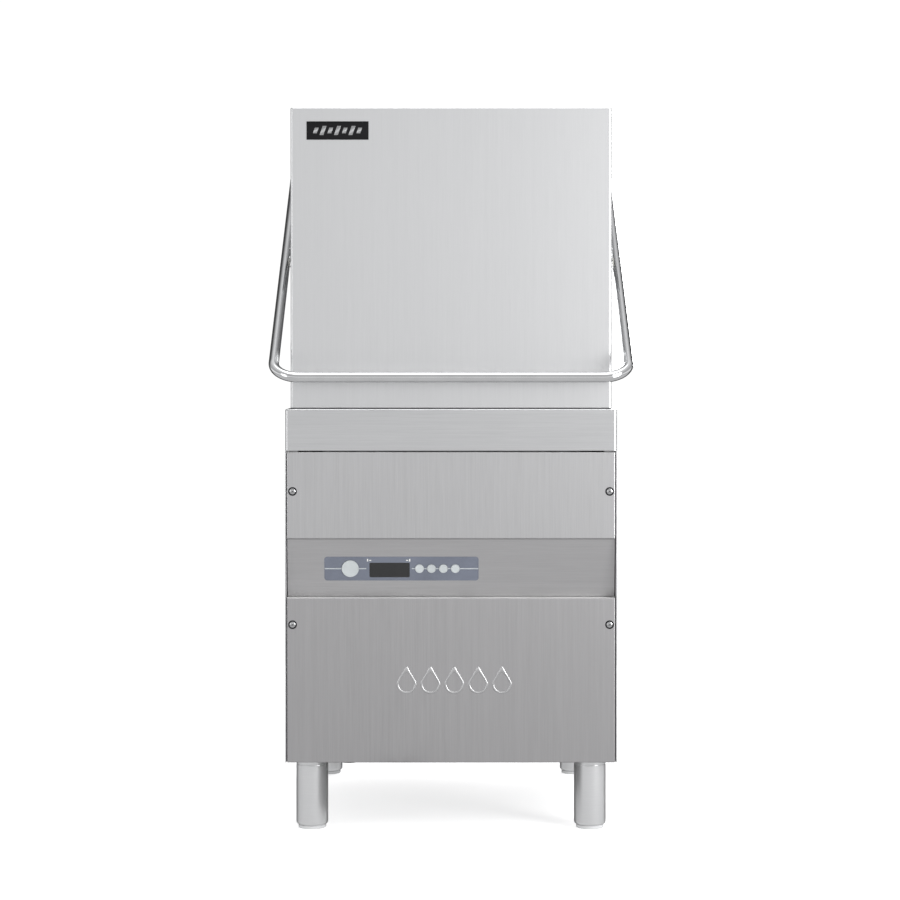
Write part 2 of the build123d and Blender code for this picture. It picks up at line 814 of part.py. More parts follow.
with BuildPart() as roller_channels:
    for side in (-1, 1):
        block(
            (side * half_hood, side * channel_outer),
            (channel_back - channel_length, channel_back),
            (roller_z - channel_half, roller_z + channel_half),
        )
        block(
            (side * (half_hood + channel_sheet), side * (channel_outer + 1)),
            (channel_back - channel_length - 1, channel_back + 1),
            (roller_z - channel_half + channel_sheet, roller_z + channel_half - channel_sheet),
            Mode.SUBTRACT,
        )
roller_channels.part.label = "roller_channels"
export_step(roller_channels.part, "parts/roller_channels.step")

rail_bottom = deck_height + 12.0
with BuildPart() as guide_rails:
    for side in (-1, 1):
        x = side * rail_spacing / 2
        block(
            (x - rail_width / 2, x + rail_width / 2),
            (column_front - rail_depth, column_front),
            (rail_bottom, column_top),
        )
guide_rails.part.label = "guide_rails"
export_step(guide_rails.part, "parts/guide_rails.step")

with BuildPart() as guide_blocks:
    for side in (-1, 1):
        x = side * rail_spacing / 2
        for i in range(2):
            bottom = hood_bottom + block_start + i * block_pitch
            block(
                (x - block_width / 2, x + block_width / 2),
                (hood_back, column_front - 1),
                (bottom, bottom + block_length),
            )
        reach = rail_width / 2 + slide_gap
        block(
            (x - reach, x + reach),
            (column_front - rail_depth - slide_gap, column_front),
            (hood_bottom, hood_bottom + block_start + block_pitch + block_length + 1),
            Mode.SUBTRACT,
        )
guide_blocks.part.label = "guide_blocks"
export_step(guide_blocks.part, "parts/guide_blocks.step")

# ---- Column, lift handle and balance ----

spring_y = pivot_y + lever_length * cos(arm_angle)
spring_top = pivot_height + lever_length * sin(arm_angle)
spring_bottom = deck_height + spring_anchor_rise
column_back = back - rear_sheet
with BuildPart() as column_housing:
    block((-half_column, half_column), (column_front, column_back), (deck_height, column_top))
    fillet(column_housing.faces().sort_by(Axis.Z)[-1].edges().filter_by(Axis.X).sort_by(Axis.Y)[0], 3)
    block(
        (-half_column + column_sheet, half_column - column_sheet),
        (column_front + column_sheet, column_back + 1),
        (deck_height - 1, column_top - column_sheet),
        Mode.SUBTRACT,
    )
    rod(
        (-half_column - 1, pivot_y, pivot_height),
        (half_column + 1, pivot_y, pivot_height),
        shaft_radius + 2,
        Mode.SUBTRACT,
    )
    # Bar that anchors the two springs
    block(
        (-half_column + column_sheet, half_column - column_sheet),
        (spring_y - 8, spring_y + 8),
        (spring_bottom - 10, spring_bottom - 4),
    )
column_housing.part.label = "column_housing"
export_step(column_housing.part, "parts/column_housing.step")

with BuildPart() as column_rear_cover:
    block((-half_column, half_column), (column_back, back), (deck_height + 1, column_top))
    fillet(column_rear_cover.edges().filter_by(Axis.Y), 4)
column_rear_cover.part.label = "column_rear_cover"
export_step(column_rear_cover.part, "parts/column_rear_cover.step")

bearing_length = 18.0
with BuildPart() as shaft_bearings:
    for side in (-1, 1):
        outer = side * (half_column - column_sheet)
        inner = side * (half_column - column_sheet - bearing_length)
        block((inner, outer), (pivot_y - hub_radius, pivot_y + 24), (pivot_height - 24, pivot_height + 24))
    rod(
        (-half_column, pivot_y, pivot_height),
        (half_column, pivot_y, pivot_height),
        shaft_radius + bearing_clearance,
        Mode.SUBTRACT,
    )
shaft_bearings.part.label = "shaft_bearings"
export_step(shaft_bearings.part, "parts/shaft_bearings.step")

shaft_end = arm_x + tube_radius - 2
with BuildPart() as balance_shaft:
    rod((-shaft_end, pivot_y, pivot_height), (shaft_end, pivot_y, pivot_height), shaft_radius)
    for side in (-1, 1):
        x = side * lever_spacing / 2
        with BuildSketch(Plane.YZ.offset(x - lever_thickness / 2)):
            with Locations((pivot_y, pivot_height)):
                Circle(hub_radius)
            with Locations((spring_y, spring_top)):
                Circle(lever_tip_radius)
            make_hull()
        extrude(amount=lever_thickness)
        rod((x, spring_y, spring_top), (x + side * 22, spring_y, spring_top), spring_wire + 1)
balance_shaft.part.label = "balance_shaft"
export_step(balance_shaft.part, "parts/balance_shaft.step")

with BuildPart() as balance_springs:
    for side in (-1, 1):
        x = side * (lever_spacing / 2 + lever_thickness / 2 + 12)
        rod((x, spring_y, spring_bottom), (x, spring_y, spring_top - 14), spring_radius)
        rod(
            (x, spring_y, spring_bottom),
            (x, spring_y, spring_top - 14),
            spring_radius - spring_wire,
            Mode.SUBTRACT,
        )
        for z, low in ((spring_top - 14, spring_top - 4.6), (spring_bottom, spring_bottom - 4)):
            rod((x - 5, spring_y, z), (x - 5, spring_y, low), spring_wire / 2)
balance_springs.part.label = "balance_springs"
export_step(balance_springs.part, "parts/balance_springs.step")

hub_length = 22.0
hub_inset = 1.5
bore_start = hub_radius + 4.0
bore_start_y = bore_start * cos(arm_angle)
bore_start_z = bore_start * sin(arm_angle)
with BuildPart() as lift_handle:
    with BuildLine() as handle_path:
        FilletPolyline(
            (-arm_x, pivot_y, pivot_height),
            (-arm_x, bar_y, handle_height),
            (arm_x, bar_y, handle_height),
            (arm_x, pivot_y, pivot_height),
            radius=handle_bend,
        )
    with BuildSketch(Plane(origin=handle_path.line @ 0, z_dir=handle_path.line % 0)):
        Circle(tube_radius)
    sweep(path=handle_path.line)
    for side in (-1, 1):
        outer = side * (arm_x + tube_radius - hub_inset)
        inner = outer - side * hub_length
        rod((inner, pivot_y, pivot_height), (outer, pivot_y, pivot_height), hub_radius)
        far = outer + side * tube_radius
        rod((inner - side, pivot_y, pivot_height), (far, pivot_y, pivot_height), shaft_radius, Mode.SUBTRACT)
        rod(
            (side * (half_hood + channel_sheet + 1.5), roller_y, roller_z),
            (side * arm_x, roller_y, roller_z),
            roller_pin_radius,
        )
    # The tube is hollow between its two hubs
    with BuildLine() as bore_path:
        FilletPolyline(
            (-arm_x, pivot_y - bore_start_y, pivot_height - bore_start_z),
            (-arm_x, bar_y, handle_height),
            (arm_x, bar_y, handle_height),
            (arm_x, pivot_y - bore_start_y, pivot_height - bore_start_z),
            radius=handle_bend,
        )
    with BuildSketch(Plane(origin=bore_path.line @ 0, z_dir=bore_path.line % 0)):
        Circle(tube_radius - tube_wall)
    sweep(path=bore_path.line, mode=Mode.SUBTRACT)
lift_handle.part.label = "lift_handle"
export_step(lift_handle.part, "parts/lift_handle.step")

roller_start = half_hood + channel_sheet + 2.5
with BuildPart() as channel_rollers:
    for side in (-1, 1):
        rod(
            (side * roller_start, roller_y, roller_z),
            (side * (roller_start + roller_width), roller_y, roller_z),
            roller_radius,
        )
    fillet(channel_rollers.edges().filter_by(GeomType.CIRCLE), 1)
    rod(
        (-half_hood - 30, roller_y, roller_z),
        (half_hood + 30, roller_y, roller_z),
        roller_pin_radius + bearing_clearance,
        Mode.SUBTRACT,
    )
channel_rollers.part.label = "channel_rollers"
export_step(channel_rollers.part, "parts/channel_rollers.step")

switch_x = 100.0
switch_z = deck_height + 60.0
with BuildPart() as hood_switch:
    block((switch_x - 10, switch_x + 10), (column_front - 16, column_front), (switch_z - 20, switch_z + 20))
    fillet(hood_switch.faces().sort_by(Axis.Y)[0].edges(), 2)
hood_switch.part.label = "hood_switch"
export_step(hood_switch.part, "parts/hood_switch.step")

# ---- Water and power inside the cabinet ----

pump_y = centre_y
pump_z = leg_height + 266.0
volute_radius = 68.0
volute_width = 50.0
volute_wall = 4.0
motor_radius = 62.0
motor_length = 150.0
rotor_radius = 8.0
impeller_radius = 52.0
impeller_width = 24.0
volute_front = pump_y - volute_width / 2
volute_back = pump_y + volute_width / 2
with BuildPart() as pump_volute:
    rod((suction_x, volute_front, pump_z), (suction_x, volute_back, pump_z), volute_radius)
    rod(
        (suction_x, pump_y, pump_z),
        (suction_x, pump_y, pump_z + volute_radius + 20),
        feed_radius,
    )
    rod(
        (suction_x, volute_front + volute_wall, pump_z),
        (suction_x, volute_back - volute_wall, pump_z),
        volute_radius - volute_wall,
        Mode.SUBTRACT,
    )
    rod(
        (suction_x, pump_y, pump_z),
        (suction_x, pump_y, pump_z + volute_radius + 21),
        feed_radius - 3,
        Mode.SUBTRACT,
    )
    rod(
        (suction_x, volute_front - 1, pump_z),
        (suction_x, pump_y, pump_z),
        drain_radius - hose_wall,
        Mode.SUBTRACT,
    )
    rod(
        (suction_x, pump_y, pump_z),
        (suction_x, volute_back + 1, pump_z),
        rotor_radius + bearing_clearance,
        Mode.SUBTRACT,
    )
pump_volute.part.label = "pump_volute"
export_step(pump_volute.part, "parts/pump_volute.step")

motor_back = volute_back + motor_length
with BuildPart() as pump_motor:
    rod((suction_x, volute_back, pump_z), (suction_x, motor_back, pump_z), motor_radius)
    fillet(pump_motor.faces().sort_by(Axis.Y)[-1].edges(), 8)
    for i in range(6):
        y = volute_back + 25 + i * 18
        with BuildSketch(Plane.XZ.offset(-y - 3)):
            with Locations((suction_x, pump_z)):
                Circle(motor_radius + 1)
                Circle(motor_radius - 4, mode=Mode.SUBTRACT)
        extrude(amount=6, mode=Mode.SUBTRACT)
    block(
        (suction_x - 45, suction_x + 45),
        (volute_back + 20, motor_back - 20),
        (leg_height + tray_sheet, pump_z - motor_radius + 10),
    )
    rod(
        (suction_x, volute_back - 1, pump_z),
        (suction_x, motor_back - 10, pump_z),
        rotor_radius + bearing_clearance,
        Mode.SUBTRACT,
    )
pump_motor.part.label = "pump_motor"
export_step(pump_motor.part, "parts/pump_motor.step")

with BuildPart() as pump_rotor:
    rod(
        (suction_x, pump_y - impeller_width / 2 + 6, pump_z),
        (suction_x, motor_back - 12, pump_z),
        rotor_radius,
    )
    rod(
        (suction_x, pump_y - impeller_width / 2 + 6, pump_z),
        (suction_x, pump_y + impeller_width / 2 - 6, pump_z),
        impeller_radius * 0.5,
    )
    rod(
        (suction_x, pump_y + impeller_width / 2 - 6, pump_z),
        (suction_x, pump_y + impeller_width / 2 - 2, pump_z),
        impeller_radius,
    )
    with Locations(Plane(origin=(suction_x, pump_y, pump_z), z_dir=(0, -1, 0))):
        with PolarLocations(impeller_radius * 0.62, 6):
            Box(impeller_radius * 0.7, 3, impeller_width * 0.6)
pump_rotor.part.label = "pump_rotor"
export_step(pump_rotor.part, "parts/pump_rotor.step")

hose_bend = 45.0
with BuildPart() as suction_hose:
    with BuildLine() as hose_path:
        FilletPolyline(
            (suction_x, sump_y, sump_floor - tank_sheet),
            (suction_x, sump_y, pump_z),
            (suction_x, volute_front, pump_z),
            radius=hose_bend,
        )
    with BuildSketch(Plane(origin=hose_path.line @ 0, z_dir=hose_path.line % 0)):
        Circle(drain_radius)
        Circle(drain_radius - hose_wall, mode=Mode.SUBTRACT)
    sweep(path=hose_path.line)
suction_hose.part.label = "suction_hose"
export_step(suction_hose.part, "parts/suction_hose.step")

with BuildPart() as delivery_manifold:
    rod((suction_x, pump_y, pump_z + volute_radius + 20), (suction_x, pump_y, manifold_height), feed_radius)
    with Locations((suction_x, pump_y, manifold_height)):
        Sphere(feed_radius)
    rod((suction_x, pump_y, manifold_height), (0, pump_y, manifold_height), feed_radius)
    rod((0, centre_y, manifold_height), (0, centre_y, basin_floor - tank_sheet), feed_radius)
    with Locations((0, pump_y, manifold_height)):
        Sphere(feed_radius)
    rod((0, pump_y, manifold_height), (0, riser_y, manifold_height), feed_radius)
    with Locations((0, riser_y, manifold_height)):
        Sphere(feed_radius)
    rod((0, riser_y, manifold_height), (0, riser_y, manifold_height + feed_radius), feed_radius)
delivery_manifold.part.label = "delivery_manifold"
export_step(delivery_manifold.part, "parts/delivery_manifold.step")

boiler_radius = 88.0
boiler_wall = 2.0
boiler_x = tray_x - boiler_radius - 32.0
boiler_y = centre_y + 30.0
boiler_bottom = leg_height + tray_sheet + 24.0
boiler_top = leg_height + 386.0
boiler_corner = 22.0
flange_radius = 50.0
with BuildPart() as boiler:
    rod((boiler_x, boiler_y, boiler_bottom), (boiler_x, boiler_y, boiler_top), boiler_radius)
    chamfer(boiler.faces().filter_by(Plane.XY).edges(), boiler_corner)
    rod(
        (boiler_x, boiler_y, boiler_bottom + boiler_corner),
        (boiler_x, boiler_y, boiler_top - boiler_corner),
        boiler_radius - boiler_wall,
        Mode.SUBTRACT,
    )
    rod(
        (boiler_x, boiler_y, boiler_bottom + boiler_wall),
        (boiler_x, boiler_y, boiler_top + 1),
        flange_radius - 12,
        Mode.SUBTRACT,
    )
    with Locations((boiler_x, boiler_y, leg_height + tray_sheet)):
        with PolarLocations(boiler_radius - 40, 3):
            Cylinder(
                8,
                boiler_bottom - leg_height - tray_sheet + 1,
                align=(Align.CENTER, Align.CENTER, Align.MIN),
            )
boiler.part.label = "boiler"
export_step(boiler.part, "parts/boiler.step")

element_radius = 4.0
element_bottom = boiler_bottom + 60.0
with BuildPart() as boiler_heater:
    rod((boiler_x, boiler_y, boiler_top), (boiler_x, boiler_y, boiler_top + 8), flange_radius)
    rod((boiler_x, boiler_y, element_bottom), (boiler_x, boiler_y, element_bottom + 5), 25)
    with Locations((boiler_x, boiler_y, element_bottom + 4)):
        with PolarLocations(18, 6):
            Cylinder(
                element_radius,
                boiler_top - element_bottom - 3,
                align=(Align.CENTER, Align.CENTER, Align.MIN),
            )
    with Locations((boiler_x, boiler_y, boiler_top + 7)):
        with PolarLocations(flange_radius - 8, 6):
            Cylinder(4, 8, align=(Align.CENTER, Align.CENTER, Align.MIN))
        Cylinder(18, 24, align=(Align.CENTER, Align.CENTER, Align.MIN))
boiler_heater.part.label = "boiler_heater"
export_step(boiler_heater.part, "parts/boiler_heater.step")

with BuildPart() as inlet_valve:
    rod((inlet_x, inlet_y, leg_height - inlet_length), (inlet_x, inlet_y, leg_height), inlet_radius)
    rod((inlet_x, inlet_y, leg_height), (inlet_x, inlet_y, leg_height + 40), inlet_shank)
    rod(
        (inlet_x, inlet_y, leg_height - inlet_length - 1),
        (inlet_x, inlet_y, leg_height + 20),
        inlet_radius - 3,
        Mode.SUBTRACT,
    )
    block((inlet_x - 20, inlet_x + 20), (inlet_y - 22, inlet_y + 22), (leg_height + 24, leg_height + 64))
    rod((inlet_x, inlet_y, leg_height + 64), (inlet_x, inlet_y, leg_height + 104), 15)
    rod((inlet_x, inlet_y - 22, leg_height + 44), (inlet_x, inlet_y - 50, leg_height + 44), 8)
inlet_valve.part.label = "inlet_valve"
export_step(inlet_valve.part, "parts/inlet_valve.step")

with BuildPart() as drain_pipe:
    rod((drain_x, sump_y, leg_height - drain_length), (drain_x, sump_y, leg_height), drain_radius)
    rod((drain_x, sump_y, leg_height), (drain_x, sump_y, sump_floor - tank_sheet), drain_shank)
    rod(
        (drain_x, sump_y, leg_height - drain_length - 1),
        (drain_x, sump_y, sump_floor),
        drain_radius - hose_wall,
        Mode.SUBTRACT,
    )
drain_pipe.part.label = "drain_pipe"
export_step(drain_pipe.part, "parts/drain_pipe.step")

with BuildPart() as cable_gland:
    rod((gland_x, gland_y, leg_height - 12), (gland_x, gland_y, leg_height), gland_radius + 3)
    rod((gland_x, gland_y, leg_height), (gland_x, gland_y, leg_height + 14), gland_radius)
    rod((gland_x, gland_y, leg_height - 13), (gland_x, gland_y, leg_height + 15), gland_bore, Mode.SUBTRACT)
cable_gland.part.label = "cable_gland"
export_step(cable_gland.part, "parts/cable_gland.step")

# Heating element in the tank: a flat loop through the basin's right wall
heater_height = basin_floor + 35.0
heater_wall = basin_x - ledge_width
heater_radius = 4.5
heater_bend = 30.0
heater_half = 90.0
with BuildPart() as tank_heater:
    with BuildLine() as heater_path:
        FilletPolyline(
            (heater_wall - 6, centre_y - heater_half, heater_height),
            (60, centre_y - heater_half, heater_height),
            (60, centre_y + heater_half, heater_height),
            (heater_wall - 6, centre_y + heater_half, heater_height),
            radius=heater_bend,
        )
    with BuildSketch(Plane(origin=heater_path.line @ 0, z_dir=heater_path.line % 0)):
        Circle(heater_radius)
    sweep(path=heater_path.line)
    block(
        (heater_wall - 6, heater_wall),
        (centre_y - heater_half - 16, centre_y + heater_half + 16),
        (heater_height - 14, heater_height + 14),
    )
tank_heater.part.label = "tank_heater"
export_step(tank_heater.part, "parts/tank_heater.step")

# Detergent and rinse aid pumps on the floor of the tray
tray_floor = leg_height + tray_sheet
doser_y = front + 60.0
with BuildPart() as dosing_pumps:
    for x in (110.0, 200.0):
        block((x - 32, x + 32), (doser_y, doser_y + 70), (tray_floor, tray_floor + 90))
        rod((x, doser_y, tray_floor + 50), (x, doser_y - 22, tray_floor + 50), 27)
        for side in (-1, 1):
            rod(
                (x + side * 14, doser_y + 20, tray_floor + 89),
                (x + side * 14, doser_y + 20, tray_floor + 110),
                4,
            )
dosing_pumps.part.label = "dosing_pumps"
export_step(dosing_pumps.part, "parts/dosing_pumps.step")
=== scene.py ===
import json
import math

import bmesh
import bpy
from mathutils import Matrix, Vector


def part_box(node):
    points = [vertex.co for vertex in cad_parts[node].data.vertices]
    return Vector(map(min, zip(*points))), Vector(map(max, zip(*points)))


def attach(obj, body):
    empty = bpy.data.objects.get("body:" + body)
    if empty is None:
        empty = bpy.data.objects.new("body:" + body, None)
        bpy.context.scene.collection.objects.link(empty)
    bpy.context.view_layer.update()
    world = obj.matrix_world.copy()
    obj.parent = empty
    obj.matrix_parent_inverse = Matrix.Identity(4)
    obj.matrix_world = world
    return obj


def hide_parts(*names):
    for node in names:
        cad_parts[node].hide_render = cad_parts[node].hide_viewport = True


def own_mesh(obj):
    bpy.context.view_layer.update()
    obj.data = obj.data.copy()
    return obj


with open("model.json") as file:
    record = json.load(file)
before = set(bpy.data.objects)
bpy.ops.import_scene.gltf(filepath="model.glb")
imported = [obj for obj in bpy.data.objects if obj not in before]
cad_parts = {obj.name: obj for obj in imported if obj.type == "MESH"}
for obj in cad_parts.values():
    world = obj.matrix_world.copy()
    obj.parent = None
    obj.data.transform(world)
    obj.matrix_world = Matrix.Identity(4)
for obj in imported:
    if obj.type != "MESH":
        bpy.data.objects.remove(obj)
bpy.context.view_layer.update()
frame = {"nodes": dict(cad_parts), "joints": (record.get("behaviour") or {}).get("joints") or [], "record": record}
nodes = frame["nodes"]
joints = {joint["name"]: joint for joint in frame["joints"]}
mm = 0.001
print("frame loaded:", len(nodes), "nodes")

camera = {
    "distance": 4.499,  # from the face of the lower panel
    "height": 0.913,
    "focal": 2.596,  # in widths of the sensor
    "sensor": 36,
    "tilt": 0.5807,  # degrees below level
    "shiftX": -0.0012,
    "shiftY": -0.075,
}


def makeCamera():
    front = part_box("lower_front_panel")[0].y
    data = bpy.data.cameras.new("camera")
    eye = bpy.data.objects.new("camera", data)
    bpy.context.scene.collection.objects.link(eye)
    data.sensor_width = camera["sensor"]
    data.lens = camera["focal"] * data.sensor_width
    data.shift_x, data.shift_y = camera["shiftX"], camera["shiftY"]
    eye.location = (0, front - camera["distance"], camera["height"])
    eye.rotation_euler = (math.radians(90 - camera["tilt"]), 0, 0)
    bpy.context.scene.camera = eye


studio = {
    "backdrop": 1.05,
    # brightness of the room by height of the direction, from straight down to straight up
    "room": [
        (0.0, 0.55), (0.30, 0.60), (0.42, 0.46), (0.47, 0.62), (0.505, 0.98),
        (0.56, 0.92), (0.64, 0.42), (0.8, 0.5), (1.0, 0.95),
    ],
    # the room dims to this share behind the machine, between these two backward directions
    "behind": 0.14,
    "behindFrom": 0.36,
    "behindTo": 0.66,
    "lights": [
        # name, place, aim, width, height, watts
        ("rightSoftbox", (2.3, -2.3, 1.9), (0.0, -0.2, 1.05), 1.4, 2.0, 48),
        ("lowSoftbox", (2.2, -2.2, 0.75), (0.0, -0.3, 0.5), 0.9, 0.9, 22),
        ("leftSoftbox", (-2.8, -2.4, 1.2), (0.0, 0.0, 0.7), 1.0, 2.0, 10),
        ("topSoftbox", (0.0, -0.4, 3.6), (0.0, 0.0, 1.0), 2.4, 2.0, 30),
        ("backSoftbox", (1.4, 3.4, 2.0), (0.0, 0.0, 0.9), 2.0, 2.4, 90),
    ],
    "floorRadius": 2.2,
    "floorTone": 0.86,
    "floorGlow": 0.62,
    # a black card that stands under the machine
    "card": {"x": -0.1, "front": -0.46, "back": 0.3, "height": 0.13, "tone": 0.02},
}


def makeWorld():
    # a room brightest at eye level and dim behind the machine, in front of a plain white backdrop
    world = bpy.data.worlds.new("studio")
    bpy.context.scene.world = world
    world.use_nodes = True
    tree = world.node_tree
    room = tree.nodes["Background"]
    where = tree.nodes.new("ShaderNodeTexCoord")
    parts = tree.nodes.new("ShaderNodeSeparateXYZ")
    height = tree.nodes.new("ShaderNodeMapRange")
    height.inputs["From Min"].default_value = -1.0
    tones = tree.nodes.new("ShaderNodeValToRGB")
    while len(tones.color_ramp.elements) < len(studio["room"]):
        tones.color_ramp.elements.new(0.5)
    for element, (at, tone) in zip(tones.color_ramp.elements, studio["room"]):
        element.position = at
        element.color = (tone, tone, tone * 1.01, 1)
    behind = tree.nodes.new("ShaderNodeMapRange")
    behind.interpolation_type = "SMOOTHSTEP"
    behind.inputs["From Min"].default_value = studio["behindFrom"]
    behind.inputs["From Max"].default_value = studio["behindTo"]
    behind.inputs["To Min"].default_value = 1.0
    behind.inputs["To Max"].default_value = studio["behind"]
    backdrop = tree.nodes.new("ShaderNodeBackground")
    backdrop.inputs["Color"].default_value = (1, 1, 1, 1)
    backdrop.inputs["Strength"].default_value = studio["backdrop"]
    path = tree.nodes.new("ShaderNodeLightPath")
    both = tree.nodes.new("ShaderNodeMixShader")
    for start, end in (
        (where.outputs["Generated"], parts.inputs[0]),
        (parts.outputs["Z"], height.inputs["Value"]),
        (height.outputs[0], tones.inputs[0]),
        (tones.outputs[0], room.inputs["Color"]),
        (parts.outputs["Y"], behind.inputs["Value"]),
        (behind.outputs[0], room.inputs["Strength"]),
        (path.outputs["Is Camera Ray"], both.inputs[0]),
        (room.outputs[0], both.inputs[1]),
        (backdrop.outputs[0], both.inputs[2]),
        (both.outputs[0], tree.nodes["World Output"].inputs["Surface"]),
    ):
        tree.links.new(start, end)


def makeLights():
    for name, place, aim, width, height, watts in studio["lights"]:
        data = bpy.data.lights.new(name, "AREA")
        data.shape = "RECTANGLE"
        data.size, data.size_y = width, height
        data.energy = watts
        lamp = bpy.data.objects.new(name, data)
        lamp.location = place
        lamp.rotation_euler = (Vector(aim) - Vector(place)).to_track_quat("-Z", "Y").to_euler()
        bpy.context.scene.collection.objects.link(lamp)


def stageObject(name, shape, finish):
    # something of the studio's own, which is no part of the machine
    mesh = bpy.data.meshes.new(name)
    shape.to_mesh(mesh)
    shape.free()
    mesh.materials.append(finish)
    made = bpy.data.objects.new(name, mesh)
    bpy.context.scene.collection.objects.link(made)
    return made


def makeFloor():
    shape = bmesh.new()
    bmesh.ops.create_circle(shape, cap_ends=True, segments=96, radius=studio["floorRadius"])
    floor = stageObject("floor", shape, floorFinish())
    floor.visible_glossy = False  # the steel mirrors the room, not the white floor


def makeCard():
    # seen only in the legs, whose inner sides it darkens
    card = studio["card"]
    length = card["back"] - card["front"]
    centre = Vector((card["x"], card["front"] + length / 2, card["height"] / 2))
    upright = Matrix.Rotation(math.pi / 2, 4, "Y") @ Matrix.Diagonal((card["height"], length, 1, 1))
    shape = bmesh.new()
    bmesh.ops.create_grid(
        shape, x_segments=1, y_segments=1, size=0.5, matrix=Matrix.Translation(centre) @ upright
    )
    made = Finish("black_card", roughness=1.0, specular_ior_level=0.0)
    made.set("base_color", (card["tone"],) * 3)
    flag = stageObject("flag", shape, made.material)
    flag.visible_camera = False
    flag.visible_diffuse = False
    flag.visible_shadow = False


class Sock:
    # one output socket; sums and products on it add their own Math nodes
    def __init__(self, graph, socket):
        self.graph, self.socket = graph, socket

    def combine(self, operation, first, second):
        return self.graph.node("Math", {"operation": operation}, {0: first, 1: second})

    def __add__(self, other):
        return self.combine("ADD", self, other)

    def __radd__(self, other):
        return self.combine("ADD", other, self)

    def __mul__(self, other):
        return self.combine("MULTIPLY", self, other)

    def __rmul__(self, other):
        return self.combine("MULTIPLY", other, self)


class Finish:
    # a material with one Principled shader
    def __init__(self, name, **fixed):
        self.material = bpy.data.materials.new(name)
        self.material.use_nodes = True
        self.tree = self.material.node_tree
        self.shader = self.tree.nodes["Principled BSDF"]
        for key, value in fixed.items():
            self.set(key, value)
        self.place = self.node("TexCoord", out="Object")

    def node(self, kind, settings=None, inputs=None, out=0):
        made = self.tree.nodes.new("ShaderNode" + kind)
        for key, value in (settings or {}).items():
            setattr(made, key, value)
        for key, value in (inputs or {}).items():
            self.feed(made.inputs[key], value)
        return Sock(self, made.outputs[out])

    def feed(self, socket, value):
        if isinstance(value, Sock):
            self.tree.links.new(value.socket, socket)
        else:
            socket.default_value = value

    def set(self, name, value):
        # "base_color" and the like name the shader's sockets
        title = name.replace("_", " ").title().replace("Ior", "IOR")
        if title == "Base Color" and not isinstance(value, Sock):
            value = (*value, 1)
        self.feed(self.shader.inputs[title], value)

    def noise(self, scale, stretch=(1, 1, 1), detail=3.0, roughness=0.5):
        where = self.node("Mapping", inputs={"Vector": self.place, "Scale": stretch})
        inputs = {"Vector": where, "Scale": scale, "Detail": detail, "Roughness": roughness}
        return self.node("TexNoise", inputs=inputs)

    def tint(self, mask, first, second):
        # mixes two colours by a mask; sockets 6 and 7 are the two colours
        start = first if isinstance(first, Sock) else (*first, 1)
        return self.node("Mix", {"data_type": "RGBA"}, {0: mask, 6: start, 7: (*second, 1)}, out=2)

    def ramp(self, value, low, high):
        # 0 below low, 1 above high
        return self.node("MapRange", {"clamp": True}, {"Value": value, "From Min": low, "From Max": high})

    def bump(self, height, strength, distance, bend=None):
        # bend: radius of the folded edges, which catch the light
        inputs = {"Height": height, "Strength": strength, "Distance": distance}
        if bend:
            inputs["Normal"] = self.node("Bevel", {"samples": 4}, {"Radius": bend})
        return self.node("Bump", inputs=inputs)


def shade(tone, step):
    return tuple(max(0.0, min(1.0, c + step)) for c in tone)


def darker(tone, share):
    return tuple(c * share for c in tone)


def brushedSteel(name, tone, grain, rough=0.34, streak=0.035, cloud=0.03):
    # grain: the axis the brush ran along; streaks are long that way and fine across it
    made = Finish(name, metallic=1.0, roughness=rough, anisotropic=0.35)
    stretch = [140.0, 140.0, 140.0]
    stretch["xyz".index(grain)] = 1.6
    streaks = made.noise(9.0, stretch, detail=4.0, roughness=0.62)
    coarse = made.noise(2.2, [s * 0.5 for s in stretch], detail=2.0)
    clouds = made.noise(2.4, (1, 1, 0.7), detail=3.0)
    mask = made.ramp(streaks * 0.7 + coarse * 0.3, 0.36, 0.66)
    fine = made.tint(mask, shade(tone, -streak), shade(tone, streak))
    made.set("base_color", made.tint(made.ramp(clouds, 0.42, 0.75) * 0.55, fine, shade(tone, -cloud)))
    made.set("roughness", rough - 0.05 + streaks * 0.08 + clouds * 0.05)
    made.set("normal", made.bump(streaks, 0.05, 0.0006, bend=0.8 * mm))
    return made.material


def turnedSteel(name, tone, rough, metal=1.0):
    # faint rings round an upright turned tube
    made = Finish(name, metallic=metal, roughness=rough, anisotropic=0.3)
    rings = made.noise(12.0, (2, 2, 160), detail=4.0, roughness=0.6)
    wear = made.noise(14.0, detail=3.0)
    made.set("base_color", made.tint(made.ramp(rings, 0.35, 0.65), shade(tone, -0.02), shade(tone, 0.01)))
    made.set("roughness", rough - 0.04 + rings * 0.05 + wear * 0.05)
    made.set("normal", made.bump(rings, 0.025, 0.0004))
    return made.material


def polishedTube(name, tone, rough=0.09):
    # polished stainless with faint drawn lines and fingermarks
    made = Finish(name, metallic=1.0, roughness=rough)
    marks = made.noise(22.0, detail=4.0, roughness=0.6)
    lines = made.noise(300.0, detail=2.0)
    made.set("base_color", made.tint(made.ramp(marks, 0.4, 0.7), tone, shade(tone, -0.05)))
    made.set("roughness", rough - 0.03 + made.ramp(marks, 0.35, 0.75) * 0.08)
    made.set("normal", made.bump(lines, 0.02, 0.0003))
    return made.material


def mouldedPlastic(name, tone, rough=0.5, grainSize=900.0, depth=0.12, gloss=0.45):
    made = Finish(name, roughness=rough, specular_ior_level=gloss)
    grain = made.noise(grainSize, detail=2.0)
    patch = made.noise(16.0, detail=3.0)
    made.set("base_color", made.tint(made.ramp(patch, 0.4, 0.7), tone, darker(tone, 0.86)))
    made.set("roughness", rough - 0.05 + grain * 0.08 + patch * 0.05)
    made.set("normal", made.bump(grain, depth, 0.0004))
    return made.material


